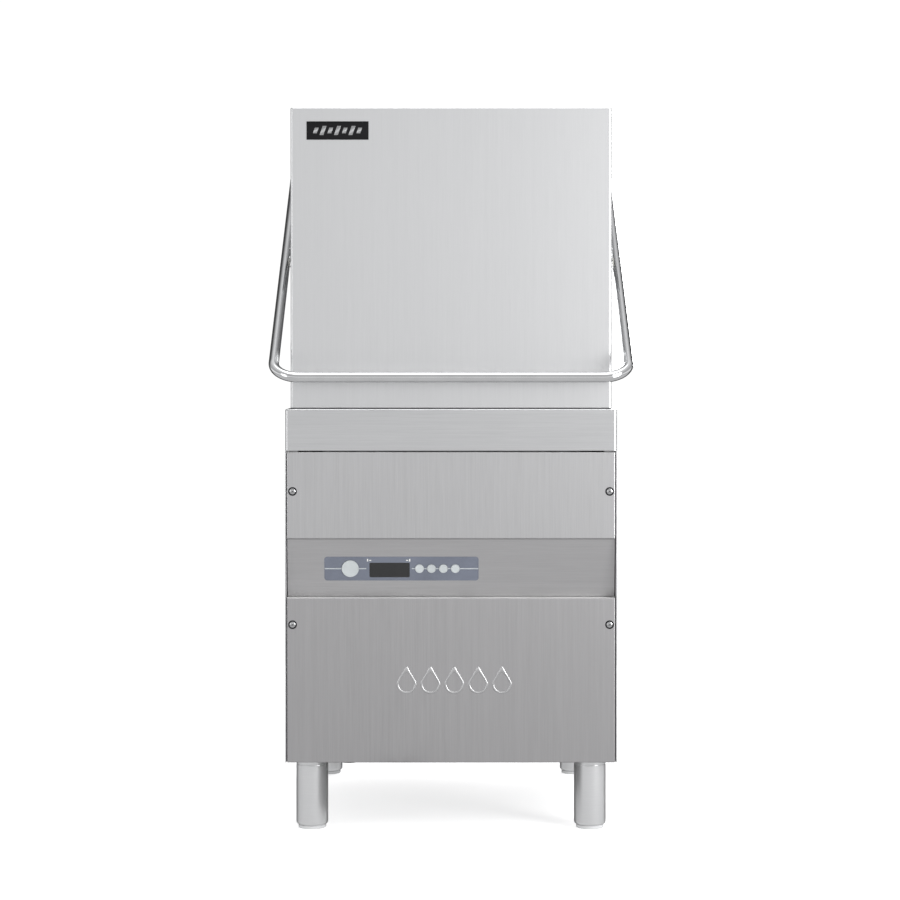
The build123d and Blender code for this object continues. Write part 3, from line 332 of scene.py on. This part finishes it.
def rubber(name, tone):
    # dark rubber with a pale dust on it
    made = Finish(name, roughness=0.72, specular_ior_level=0.3)
    grain = made.noise(420.0, detail=3.0)
    dust = made.noise(30.0, detail=4.0)
    made.set("base_color", made.tint(made.ramp(dust, 0.45, 0.8), tone, shade(darker(tone, 1.35), 0.01)))
    made.set("roughness", 0.68 + grain * 0.1)
    made.set("normal", made.bump(grain, 0.2, 0.0005))
    return made.material


def castMetal(name, tone, rough=0.48, metal=1.0):
    made = Finish(name, metallic=metal, roughness=rough)
    pits = made.noise(260.0, detail=4.0)
    stain = made.noise(12.0, detail=3.0)
    made.set("base_color", made.tint(made.ramp(stain, 0.4, 0.75), tone, darker(tone, 0.78)))
    made.set("roughness", rough - 0.05 + pits * 0.16)
    made.set("normal", made.bump(pits, 0.22, 0.0006))
    return made.material


def circuitBoard(name):
    made = Finish(name, roughness=0.42)
    grid = {"Vector": made.place, "Scale": 90.0, "Mortar Size": 0.06}
    tracks = made.node("TexBrick", {"offset": 0.5}, grid)
    made.set("base_color", made.tint(tracks * 0.6, (0.015, 0.10, 0.035), (0.05, 0.24, 0.10)))
    made.set("roughness", 0.36 + made.noise(60.0) * 0.12)
    return made.material


def floorFinish():
    glow = studio["floorGlow"]
    made = Finish("studio_floor", roughness=0.6, emission_color=(1, 1, 1, 1), emission_strength=glow)
    grain = made.noise(5.0, detail=4.0)
    tone = (studio["floorTone"],) * 3
    made.set("base_color", made.tint(grain, tone, shade(tone, 0.02)))
    made.set("roughness", 0.55 + grain * 0.1)
    return made.material


finishes = {
    # the hood, tank and body steel step down in tone from top to bottom: painted shade, darker lower down where
    # less light falls
    "body_steel": brushedSteel("satin_body_sheet", (0.62, 0.62, 0.625), "z"),
    "hood_steel": brushedSteel("satin_hood_sheet", (0.72, 0.725, 0.73), "z", 0.36, 0.02, 0.02),
    "tank_steel": brushedSteel("satin_tank_sheet", (0.66, 0.665, 0.67), "x", 0.3),
    "leg_steel": turnedSteel("turned_leg", (0.80, 0.805, 0.81), 0.3, 0.85),
    "shaft_steel": turnedSteel("ground_shaft", (0.55, 0.555, 0.56), 0.2),
    "chrome_tube": polishedTube("polished_tube", (0.80, 0.805, 0.81)),
    "screw_steel": polishedTube("bright_screw", (0.62, 0.625, 0.63), 0.2),
    "spring_steel": polishedTube("spring_wire", (0.36, 0.365, 0.38), 0.3),
    "pump_plastic": mouldedPlastic("black_moulding", (0.035, 0.035, 0.038)),
    "motor_aluminium": castMetal("cast_motor", (0.50, 0.51, 0.52)),
    "hose_rubber": rubber("black_hose", (0.03, 0.03, 0.032)),
    "seal_rubber": rubber("grey_seal", (0.09, 0.09, 0.095)),
    "nylon": mouldedPlastic("natural_nylon", (0.72, 0.71, 0.66), 0.42),
    "foot_plastic": mouldedPlastic("grey_foot", (0.55, 0.555, 0.56), 0.4),
    "button_plastic": mouldedPlastic("light_key", (0.46, 0.49, 0.50), 0.45, 1400.0, 0.05),
    "board_green": circuitBoard("circuit_board"),
    "valve_plastic": mouldedPlastic("white_moulding", (0.70, 0.70, 0.67), 0.4),
    "brass_fitting": castMetal("turned_brass", (0.70, 0.52, 0.24), 0.3),
    "badge_black": mouldedPlastic("black_enamel", (0.008, 0.008, 0.009), 0.3, 700.0, 0.02, 0.18),
    "fascia_film": mouldedPlastic("blue_grey_film", (0.135, 0.150, 0.190), 0.42, 900.0, 0.03),
    "display_plastic": mouldedPlastic("smoked_window", (0.022, 0.022, 0.023), 0.16, 300.0, 0.01),
}
# a near-black steel for the cup washers: painted shadow in the gap round each screw head
cupPaintedShadow = castMetal("cup_painted_shadow", (0.055, 0.055, 0.06), 0.5)

# darker copies of the body steel for the control and lower sheets: painted shade, darker towards the bottom where
# less light falls
paintedShadeSheets = {
    "control_panel": brushedSteel("satin_control_sheet_painted_shade", (0.585, 0.58, 0.585), "x", 0.36),
    "lower_front_panel": brushedSteel("satin_lower_sheet_painted_shade", (0.52, 0.515, 0.52), "z", 0.37),
}


def dressNodes():
    for entry in frame["record"]["subparts"]:
        mesh = nodes[entry["node"]].data
        mesh.materials.clear()
        mesh.materials.append(paintedShadeSheets.get(entry["node"]) or finishes[entry["material_slot"]])


def paintedLedgeHighlight():
    # a paler, duller steel on the lower sheet's upward ledge faces: a painted highlight for the light its folded
    # edge catches from above
    mesh = nodes["lower_front_panel"].data
    mesh.materials.append(castMetal("ledge_painted_highlight", (0.72, 0.72, 0.71), 0.6, 0.15))
    for face in mesh.polygons:
        if face.normal.z > 0.9:
            face.material_index = 1


dressNodes()
paintedLedgeHighlight()
makeCamera()
makeWorld()
makeLights()
makeFloor()
makeCard()
bpy.context.scene.view_settings.view_transform = "Standard"
print("studio and finishes made")

sharpEdge = math.radians(35)  # faces that meet at more than this keep a crisp edge


def addPiece(name, shape, finish, body, replaced=()):
    # a finished bmesh becomes a piece that rides on a body, with its place in its mesh
    bmesh.ops.remove_doubles(shape, verts=shape.verts, dist=1e-6)
    bmesh.ops.recalc_face_normals(shape, faces=shape.faces)
    mesh = bpy.data.meshes.new(name)
    shape.to_mesh(mesh)
    shape.free()
    mesh.shade_smooth()
    mesh.set_sharp_from_angle(angle=sharpEdge)
    mesh.materials.append(finishes[finish])
    piece = bpy.data.objects.new(name, mesh)
    bpy.context.scene.collection.objects.link(piece)
    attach(piece, body)
    if replaced:
        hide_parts(*replaced)
    return piece


def facing(place, along):
    # turns +Z to a direction and moves to a place
    return Matrix.Translation(place) @ Vector(along).to_track_quat("Z", "Y").to_matrix().to_4x4()


def turned(shape, profile, place=(0, 0, 0), along=(0, 0, 1), steps=64):
    # spins a list of (radius, height) points into a closed turned form
    points = [shape.verts.new((radius, 0, height)) for radius, height in profile]
    edges = [shape.edges.new(pair) for pair in zip(points, points[1:])]
    made = bmesh.ops.spin(
        shape, geom=points + edges, cent=(0, 0, 0), axis=(0, 0, 1),
        angle=math.tau, steps=steps, use_merge=True,
    )
    found = set(points)
    for item in made["geom_last"]:
        found.update(item.verts if hasattr(item, "verts") else [item])
    reached = set(found)
    while found:
        near = {edge.other_vert(v) for v in found for edge in v.link_edges}
        found = near - reached
        reached |= near
    bmesh.ops.transform(shape, matrix=facing(place, along), verts=list(reached))


def collar(bore, outer, length, edge):
    # the closed profile of a bored ring with its outer edges broken
    return [
        (bore, 0),
        (outer - edge, 0),
        (outer, edge),
        (outer, length - edge),
        (outer - edge, length),
        (bore, length),
        (bore, 0),
    ]


def bar(shape, size, bevel, segments=3):
    # a block with rounded edges
    cube = bmesh.ops.create_cube(shape, size=1.0)["verts"]
    bmesh.ops.scale(shape, vec=size, verts=cube)
    edges = list({edge for v in cube for edge in v.link_edges})
    return bmesh.ops.bevel(
        shape, geom=edges, offset=bevel, offset_type="OFFSET", segments=segments,
        affect="EDGES", profile=0.5, material=-1,
    )["verts"]


def ringTube(shape, radius, thickness, place, along=(0, 0, 1), steps=48, sides=12):
    # a closed round ring, such as a weld bead
    circle = bmesh.ops.create_circle(shape, cap_ends=False, segments=sides, radius=thickness)["verts"]
    bmesh.ops.rotate(shape, verts=circle, cent=(0, 0, 0), matrix=Matrix.Rotation(math.pi / 2, 3, "X"))
    bmesh.ops.translate(shape, verts=circle, vec=(radius, 0, 0))
    edges = list({edge for v in circle for edge in v.link_edges})
    before = set(shape.verts)
    bmesh.ops.spin(
        shape, geom=circle + edges, cent=(0, 0, 0), axis=(0, 0, 1),
        angle=math.tau, steps=steps, use_merge=True,
    )
    made = circle + [v for v in shape.verts if v not in before]
    bmesh.ops.transform(shape, matrix=facing(place, along), verts=made)
    return made


def middle(node):
    low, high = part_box(node)
    return (low + high) / 2


handle = {
    "tubeRadius": 10 * mm,
    "bend": 50 * mm,
    "bendSteps": 20,
    "sides": 40,
    "hubRadius": 20 * mm,
    "hubLength": 22 * mm,
    "hubBore": 12.5 * mm,
    "hubEdge": 1.5 * mm,
    "overlap": 1 * mm,  # how far the tube runs into the hubs, and the pins into the tube
    "bead": 1.6 * mm,
    "beadRise": 0.6 * mm,
    "beadSink": 0.5 * mm,
    "beadWidth": 0.81,  # the bead is dressed flush at its sides
    "pinRadius": 5 * mm,
    "pinLength": 17 * mm,
    "pinEdge": 1 * mm,
    "pinBead": 1.2 * mm,
}


def makeHandle():
    # the tube is drawn flat from one hub to the other, then tilted into place
    low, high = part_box("lift_handle")
    pivot = Vector(joints["handle_pivot"]["pos_m"])
    roller = Vector(joints["roller_spin"]["pos_m"])
    radius, bend, hub = handle["tubeRadius"], handle["bend"], handle["hubRadius"]
    armX = high.x - radius
    barPlace = Vector((0, low.y + radius, low.z + radius))
    reach = pivot - barPlace
    slope = math.atan2(reach.z, reach.y)
    armLength = math.hypot(reach.y, reach.z) - hub + handle["overlap"]
    shape = bmesh.new()
    ring = bmesh.ops.create_circle(shape, cap_ends=False, segments=handle["sides"], radius=radius)["verts"]
    bmesh.ops.rotate(shape, verts=ring, cent=(0, 0, 0), matrix=Matrix.Rotation(math.pi / 2, 3, "X"))
    bmesh.ops.translate(shape, verts=ring, vec=(armX, armLength, 0))
    edges = list({edge for v in ring for edge in v.link_edges})

    def push(edges, vec):
        made = bmesh.ops.extrude_edge_only(shape, edges=edges)["geom"]
        bmesh.ops.translate(shape, verts=[g for g in made if isinstance(g, bmesh.types.BMVert)], vec=vec)
        return [g for g in made if isinstance(g, bmesh.types.BMEdge)]

    def swing(edges, centre):
        verts = list({v for edge in edges for v in edge.verts})
        made = bmesh.ops.spin(
            shape, geom=verts + edges, cent=centre, axis=(0, 0, 1),
            angle=-math.pi / 2, steps=handle["bendSteps"],
        )["geom_last"]
        return [g for g in made if isinstance(g, bmesh.types.BMEdge)]

    edges = push(edges, (0, bend - armLength, 0))
    edges = swing(edges, (armX - bend, bend, 0))
    edges = push(edges, (-2 * (armX - bend), 0, 0))
    edges = swing(edges, (bend - armX, bend, 0))
    push(edges, (0, armLength - bend, 0))
    place = Matrix.Translation(barPlace) @ Matrix.Rotation(slope, 4, "X")
    bmesh.ops.transform(shape, matrix=place, verts=shape.verts)
    along = Vector((0, -math.cos(slope), -math.sin(slope)))
    pin, pinLength, pinEdge = handle["pinRadius"], handle["pinLength"], handle["pinEdge"]
    pinProfile = [(0, 0), (pin, 0), (pin, pinLength - pinEdge), (pin - pinEdge, pinLength), (0, pinLength)]
    for side in (-1, 1):
        inward = (-side, 0, 0)
        outer = Vector((side * (armX + radius), pivot.y, pivot.z))
        turned(shape, collar(handle["hubBore"], hub, handle["hubLength"], handle["hubEdge"]), outer, inward)
        weld = Vector((side * armX, pivot.y, pivot.z)) + along * (hub - handle["beadSink"])
        bead = ringTube(shape, radius + handle["beadRise"], handle["bead"], weld, along)
        bmesh.ops.scale(shape, vec=(handle["beadWidth"], 1, 1), space=Matrix.Translation(-weld), verts=bead)
        pinPlace = Vector((side * (armX - radius + handle["overlap"]), roller.y, roller.z))
        turned(shape, pinProfile, pinPlace, inward, 32)
        ringTube(shape, pin + handle["beadRise"], handle["pinBead"], pinPlace, inward, 32)
    addPiece("lift_handle_tube", shape, "chrome_tube", "handle", ["lift_handle"])


corners = ("front_left_foot", "front_right_foot", "rear_left_foot", "rear_right_foot")
leg = {
    "radius": 31 * mm,
    "rounding": 6 * mm,
    "bore": 15 * mm,
    "grooveDrop": 9 * mm,  # from the tray down to the rolled groove
    "groove": 1.0 * mm,
    "topEdge": 0.6 * mm,
}


def makeLegs():
    bottom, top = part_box("legs")[0].z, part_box("base_tray")[0].z
    tall = top - bottom
    radius, rounding, groove, bore = leg["radius"], leg["rounding"], leg["groove"], leg["bore"]
    profile = [(bore, tall), (bore, 0)]
    for step in range(13):
        angle = step * math.pi / 24
        across, up = math.sin(angle), 1 - math.cos(angle)
        profile.append((radius - rounding + rounding * across, rounding * up))
    grooveHeight = tall - leg["grooveDrop"]
    for step in range(9):
        angle = step * math.pi / 8
        profile.append((radius - groove * math.sin(angle), grooveHeight - groove * 1.2 * math.cos(angle)))
    profile += [(radius, tall - leg["topEdge"]), (radius - leg["topEdge"], tall), (bore, tall)]
    shape = bmesh.new()
    for corner in corners:
        spot = middle(corner)
        turned(shape, profile, (spot.x, spot.y, bottom), steps=96)
    addPiece("leg_tubes", shape, "leg_steel", "cabinet", ["legs"])


foot = {
    "radius": 27 * mm,
    "edge": 1.5 * mm,
    "hollow": 0.4 * mm,
    "hollowEdge": 6 * mm,  # from the rim in to the hollow
    "hollowSlope": 1 * mm,
    "stem": 14 * mm,
    "stemEdge": 1 * mm,
}


def makeFeet():
    radius, edge = foot["radius"], foot["edge"]
    stem, stemEdge = foot["stem"], foot["stemEdge"]
    for corner in corners:
        spot = middle(corner)
        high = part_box("legs")[0].z
        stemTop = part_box(corner)[1].z
        # a sole with a slight hollow, and an edge rounded below and above
        inner = radius - foot["hollowEdge"]
        profile = [(0, foot["hollow"]), (inner, foot["hollow"]), (inner + foot["hollowSlope"], 0)]
        for start, low in ((0, edge), (1, high - edge)):
            for step in range(7):
                angle = math.pi / 2 * (start - 1 + step / 6)
                profile.append((radius - edge + edge * math.cos(angle), low + edge * math.sin(angle)))
        profile += [(stem, high), (stem, stemTop - stemEdge), (stem - stemEdge, stemTop), (0, stemTop)]
        shape = bmesh.new()
        turned(shape, profile, (spot.x, spot.y, 0), steps=72)
        addPiece(corner + "_insert", shape, "foot_plastic", corner, [corner])


screw = {
    "cupRadius": 8.5 * mm,
    "cupHeight": 1.6 * mm,
    "cupWall": 2.4 * mm,
    "headRadius": 6.2 * mm,
    "headHeight": 2.0 * mm,
    "sink": 0.5 * mm,  # of the head into its cup
    "cupSink": 0.4 * mm,
    "recess": 5.2 * mm,
    "recessWidth": 0.2,  # of a blade, as a share of its length
    "recessDepth": 0.7 * mm,
    "recessTurn": 0.5,
}


def crossRecess(shape, place):
    # the blades of a driver recess, as a black cross sunk in the head: painted shade where the hollow recess would
    # be in shadow
    size = screw["recess"]
    for turn in (0, 1):
        blade = bmesh.ops.create_cube(shape, size=1.0)["verts"]
        bmesh.ops.scale(shape, vec=(size, size * screw["recessWidth"], screw["recessDepth"]), verts=blade)
        spun = Matrix.Rotation(turn * math.pi / 2 + screw["recessTurn"], 3, "Z")
        bmesh.ops.rotate(shape, verts=blade, cent=(0, 0, 0), matrix=spun)
        bmesh.ops.transform(shape, matrix=facing(place, (0, -1, 0)), verts=blade)


def makeScrews():
    low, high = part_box("screw_cup_washers")
    cup, rise, inner = screw["cupRadius"], screw["cupHeight"], screw["cupRadius"] - screw["cupWall"]
    cupProfile = [
        (cup - 1 * mm, -screw["cupSink"]),
        (cup, 0),
        (cup - 0.5 * mm, rise * 0.6),
        (cup - 1.3 * mm, rise),
        (inner + 0.2 * mm, rise * 0.5),
        (inner, -screw["cupSink"]),
        (cup - 1 * mm, -screw["cupSink"]),
    ]
    head, tall, sink = screw["headRadius"], screw["headHeight"], screw["sink"]
    dome = [(0, -sink), (head - 0.1 * mm, -sink)]
    for step in range(9):
        angle = step * math.pi / 16
        dome.append((head * math.cos(angle) ** 0.6 if step < 8 else 0, tall * math.sin(angle)))
    cups, heads, recesses = bmesh.new(), bmesh.new(), bmesh.new()
    for x in (low.x + cup, high.x - cup):
        for z in (low.z + cup, high.z - cup):
            turned(cups, cupProfile, (x, high.y, z), (0, -1, 0), 48)
            turned(heads, dome, (x, high.y, z), (0, -1, 0), 48)
            crossRecess(recesses, (x, high.y - tall + 0.3 * mm, z))
    cupPiece = addPiece("cup_washers", cups, "screw_steel", "cabinet", ["screw_cup_washers"])
    # the cups take the near-black steel: painted shadow round the heads
    cupPiece.data.materials[0] = cupPaintedShadow
    addPiece("screw_heads", heads, "screw_steel", "cabinet", ["panel_screws"])
    # the crosses are black moulding: painted shade in the recesses
    addPiece("screw_recess_painted_shade", recesses, "pump_plastic", "cabinet")


key = {
    "rim": 0.5 * mm,
    "dish": 0.35 * mm,
    "lip": 1.4 * mm,  # the flange behind the film is this much wider than the key
    "capDepth": 3.2 * mm,
    "flangeTop": 3.5 * mm,
    "flangeBottom": 5.1 * mm,
    "stem": 2.5 * mm,
    "stemBottom": 11.5 * mm,
}
keyNodes = [node for node in nodes if node + "_press" in joints]


def keyFace(node):
    # centre of a key's front face, the way it faces, and its radius
    out = -Vector(joints[node + "_press"]["axis"])
    points = [v.co for v in nodes[node].data.vertices]
    top = max(p.dot(out) for p in points)
    rim = [p for p in points if p.dot(out) > top - 0.1 * mm]
    low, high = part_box(node)
    return sum(rim, Vector()) / len(rim), out, (high.x - low.x) / 2 - key["lip"]


def makeKeys():
    rim, dish, stem = key["rim"], key["dish"], key["stem"]
    for node in keyNodes:
        centre, out, radius = keyFace(node)
        profile = [(0, -key["capDepth"]), (radius, -key["capDepth"]), (radius, -rim)]
        profile += [(radius - rim * 0.3, -rim * 0.3), (radius - rim, 0), (radius - rim * 2.2, -0.05 * mm)]
        for step in range(1, 9):
            share = 1 - step / 8
            profile.append(((radius - rim * 3) * share, -dish * (1 - share * share)))
        flange = [(0, -key["flangeTop"]), (radius + key["lip"], -key["flangeTop"])]
        flange += [(radius + key["lip"], -key["flangeBottom"]), (stem, -key["flangeBottom"])]
        flange += [(stem, -key["stemBottom"]), (0, -key["stemBottom"])]
        shape = bmesh.new()
        turned(shape, profile, centre, out, 64)
        turned(shape, flange, centre, out, 48)
        addPiece(node + "_cap", shape, "button_plastic", node, [node])


film = {
    "line": 1.7 * mm,
    "proud": 0.12 * mm,
    "sink": 0.02 * mm,
    "margin": 0.6 * mm,  # plain film at both ends of the line, and round the keys
    "windowLeft": 6 * mm,
    "windowRight": 4 * mm,
    "markRise": 16.8 * mm,
    "lamp": (2.2 * mm, 5.0 * mm),
    "lampShift": 3.4 * mm,
    "dash": (3.6 * mm, 1.8 * mm),
    "dashShift": 5.0 * mm,
    "dashDrop": 0.4 * mm,
}


def filmPlane():
    # the film's face: a point on it, its sideways, upward and outward directions
    out = -Vector(joints["start_button_press"]["axis"])
    top = max(v.co.dot(out) for v in nodes["fascia_overlay"].data.vertices)
    centre = middle("fascia_overlay")
    centre += out * (top - centre.dot(out))
    return centre, Vector((1, 0, 0)), out.cross(Vector((1, 0, 0))), out


def onFilm(shape, across, up, size):
    # a thin printed patch at a place on the film
    centre, sideways, upward, out = filmPlane()
    patch = bmesh.ops.create_cube(shape, size=1.0)["verts"]
    bmesh.ops.scale(shape, vec=(*size, film["proud"]), verts=patch)
    place = Matrix((sideways, upward, out)).transposed().to_4x4()
    lift = film["proud"] / 2 - film["sink"]
    place.translation = centre + sideways * across + upward * up + out * lift
    bmesh.ops.transform(shape, matrix=place, verts=patch)


def makeFilmPrint():
    centre = filmPlane()[0]
    low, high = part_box("fascia_overlay")
    windowLow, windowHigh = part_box("display_window")
    breaks = [(windowLow.x - film["windowLeft"], windowHigh.x + film["windowRight"])]
    for node in keyNodes:
        face, out, radius = keyFace(node)
        breaks.append((face.x - radius - film["margin"], face.x + radius + film["margin"]))
    line, lamps = bmesh.new(), bmesh.new()
    start = low.x + film["margin"]
    for begin, end in sorted(breaks) + [(high.x - film["margin"], 0)]:
        if begin - start > 0.5 * mm:
            onFilm(line, (start + begin) / 2 - centre.x, 0, (begin - start, film["line"]))
        start = end
    # a lamp mark and a small dash above each end of the display
    for side, edge in ((-1, windowLow.x), (1, windowHigh.x)):
        lamp = edge - centre.x - (film["lampShift"] if side < 0 else 0)
        onFilm(lamps, lamp, film["markRise"], film["lamp"])
        onFilm(lamps, lamp - side * film["dashShift"], film["markRise"] - film["dashDrop"], film["dash"])
    addPiece("film_print", line, "button_plastic", "cabinet")
    addPiece("film_lamps", lamps, "valve_plastic", "cabinet")


# a black plate with a plain silver motif of slanted bars
badge = {
    "edge": 0.5 * mm,
    "bars": 7,
    "barWidth": 7.5 * mm,
    "barEdge": 0.12 * mm,
    "pitch": 14 * mm,
    "slant": 0.35,
    "relief": 0.35 * mm,
    "lift": 0.1 * mm,
    "tall": 0.5,  # of the plate's height
    "short": 0.62,  # of a tall bar
}


def makeBadge():
    low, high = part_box("hood_badge")
    centre = middle("hood_badge")
    width, thick, height = high - low
    plate = bmesh.new()
    made = bar(plate, (width, height, thick), badge["edge"])
    bmesh.ops.transform(plate, matrix=facing(centre, (0, -1, 0)), verts=made)
    addPiece("badge_plate", plate, "badge_black", "hood", ["hood_badge"])
    marks = bmesh.new()
    for index in range(badge["bars"]):
        # every other bar is shorter
        tall = height * badge["tall"] * (1 if index % 2 else badge["short"])
        made = bar(marks, (badge["barWidth"], tall, badge["relief"]), badge["barEdge"], 2)
        for v in made:
            v.co.x += v.co.y * badge["slant"]
        across = (index - (badge["bars"] - 1) / 2) * badge["pitch"]
        place = (centre.x + across, low.y - badge["lift"], centre.z)
        bmesh.ops.transform(marks, matrix=facing(place, (0, -1, 0)), verts=made)
    addPiece("badge_marks", marks, "screw_steel", "hood")


# a row of drops pressed in the lower panel
ornament = {
    "count": 5,
    "pitch": 46 * mm,
    "radius": 17 * mm,
    "wall": 4.2 * mm,
    "relief": 0.9 * mm,
    "height": 286 * mm,
    "shift": 6 * mm,
    "point": 0.62,  # how far a drop's tip is drawn out, in radii
    "pinch": 0.42,
}


def makeOrnament():
    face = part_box("lower_front_panel")[0].y
    shape = bmesh.new()
    for index in range(ornament["count"]):
        across = (index - (ornament["count"] - 1) / 2) * ornament["pitch"] + ornament["shift"]
        drop = ringTube(shape, ornament["radius"], ornament["wall"] / 2, (0, 0, 0), steps=40)
        for v in drop:
            # the ring's upper half draws out to a soft point
            lift = max(0.0, v.co.y / ornament["radius"])
            v.co.y += lift ** 3 * ornament["radius"] * ornament["point"]
            v.co.x *= 1 - ornament["pinch"] * lift ** 2
            v.co.z *= ornament["relief"] / (ornament["wall"] / 2)
        place = Matrix.Translation((across, face, ornament["height"])) @ Matrix.Rotation(math.pi / 2, 4, "X")
        bmesh.ops.transform(shape, matrix=place, verts=drop)
    addPiece("panel_ornament", shape, "body_steel", "cabinet")


sprayArm = {
    "nozzles": 6,
    "pitch": 34 * mm,
    "edge": 1.2 * mm,
    "taper": 0.18,
    "overlap": 1.5 * mm,
    "tubeEdge": 2 * mm,
    "lean": 0.12,  # of every other nozzle, which drives the arm round
    # bore and length of the hub, width and thickness of the arm
    "wash": (12.06 * mm, 24 * mm, 34 * mm, 14 * mm),
    "rinse": (7.06 * mm, 16 * mm, 16 * mm, 9 * mm),
}
nozzleProfile = [
    (1.4 * mm, 3.5 * mm),
    (1.4 * mm, 4.1 * mm),
    (3.4 * mm, 3.6 * mm),
    (4.8 * mm, 1.4 * mm),
    (5.2 * mm, 0),
    (1.4 * mm, 0),
    (1.4 * mm, 3.5 * mm),
]


def makeSprayArm(level, work, up):
    node = level + "_" + work + "_arm"
    low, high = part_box(node)
    centre = middle(node)
    bore, hub, width, thick = sprayArm[work]
    hubRadius = (high.y - low.y) / 2
    shape = bmesh.new()
    base = Vector((centre.x, centre.y, low.z if up > 0 else high.z))
    turned(shape, collar(bore, hubRadius, hub, sprayArm["edge"]), base, (0, 0, up))
    armLength = (high.x - low.x) / 2
    inner = hubRadius - sprayArm["overlap"]
    taper = sprayArm["taper"]
    arm = base + Vector((0, 0, up * hub / 2))
    for side in (-1, 1):
        tube = bmesh.ops.create_cone(
            shape, cap_ends=True, segments=32, radius1=0.5, radius2=0.5, depth=1.0
        )["verts"]
        bmesh.ops.rotate(shape, verts=tube, cent=(0, 0, 0), matrix=Matrix.Rotation(math.pi / 2, 3, "Y"))
        bmesh.ops.scale(shape, vec=(armLength - inner, width, thick), verts=tube)
        for v in tube:
            # the tube is pressed flat and narrows towards its closed end
            share = v.co.x / (armLength - inner) + 0.5
            v.co.y *= 1 - taper * share if side > 0 else 1 - taper + taper * share
        caps = [f for f in shape.faces if len(f.verts) == 32 and all(v in tube for v in f.verts)]
        rims = [e for f in caps for e in f.edges]
        bmesh.ops.translate(shape, verts=tube, vec=arm + Vector((side * (armLength + inner) / 2, 0, 0)))
        bmesh.ops.bevel(
            shape, geom=rims, offset=sprayArm["tubeEdge"], offset_type="OFFSET", segments=3,
            affect="EDGES", profile=0.5, material=-1,
        )
    for side in (-1, 1):
        for index in range(1, sprayArm["nozzles"] + 1):
            spot = arm + Vector((side * index * sprayArm["pitch"], 0, up * (thick / 2 - 1.2 * mm)))
            turned(shape, nozzleProfile, spot, (side * sprayArm["lean"] * (index % 2), 0, up), 24)
    addPiece(node + "_tube", shape, "tank_steel", node, [node])


spring = {
    "wire": 3.0 * mm,
    "sides": 8,
    "radius": 9.5 * mm,
    "pitch": 3.5 * mm,
    "turnSteps": 20,
    "inset": 1.5 * mm,  # from the pair's outer sides to the coils
    "bottomHook": 5.5 * mm,
    "topHook": 10 * mm,
    "hookRadius": 6.5 * mm,
    "hookWire": 1.4 * mm,
    "travel": 49 * mm,  # how much the levers shorten them over the lift
}


def coilMesh(x, y, bottom, top):
    # one turn is spun, and the others are copies of it
    wire, sides, radius, pitch = spring["wire"] / 2, spring["sides"], spring["radius"], spring["pitch"]
    steps = spring["turnSteps"]
    coil = bmesh.new()
    ring = bmesh.ops.create_circle(coil, cap_ends=False, segments=sides, radius=wire)["verts"]
    bmesh.ops.rotate(coil, verts=ring, cent=(0, 0, 0), matrix=Matrix.Rotation(math.pi / 2, 3, "X"))
    bmesh.ops.translate(coil, verts=ring, vec=(x + radius, y, bottom))
    bmesh.ops.spin(
        coil, geom=list(coil.verts) + list(coil.edges), cent=(x, y, bottom), axis=(0, 0, 1),
        angle=math.tau, steps=steps, dvec=(0, 0, pitch / steps),
    )
    turn = list(coil.verts) + list(coil.edges) + list(coil.faces)
    for index in range(1, int((top - bottom) / pitch)):
        copied = bmesh.ops.duplicate(coil, geom=turn)["geom"]
        moved = [g for g in copied if isinstance(g, bmesh.types.BMVert)]
        bmesh.ops.translate(coil, verts=moved, vec=(0, 0, index * pitch))
    bmesh.ops.remove_doubles(coil, verts=coil.verts, dist=0.02 * mm)
    bmesh.ops.holes_fill(coil, edges=[e for e in coil.edges if e.is_boundary], sides=sides)
    mesh = bpy.data.meshes.new("coil")
    coil.to_mesh(mesh)
    coil.free()
    return mesh


def makeSprings():
    low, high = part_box("balance_springs")
    inset = spring["radius"] + spring["inset"]
    y = (low.y + high.y) / 2
    shape = bmesh.new()
    for x in (low.x + inset, high.x - inset):
        coil = coilMesh(x, y, low.z + spring["bottomHook"], high.z - spring["topHook"])
        shape.from_mesh(coil)
        bpy.data.meshes.remove(coil)
        for z in (low.z + 3 * mm, high.z - 5 * mm):
            ringTube(shape, spring["hookRadius"], spring["hookWire"], (x, y, z), (1, 0, 0), 32, 10)
    piece = addPiece("spring_coils", shape, "spring_steel", "cabinet", ["balance_springs"])
    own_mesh(piece)


makeHandle()
makeLegs()
makeFeet()
makeScrews()
makeKeys()
print("handle, legs, screws and keys made")
makeFilmPrint()
makeBadge()
makeOrnament()
print("prints and ornaments made")
for level, up in (("lower", 1), ("upper", -1)):
    for work in ("wash", "rinse"):
        makeSprayArm(level, work, up)
makeSprings()
print("spray arms and springs made")
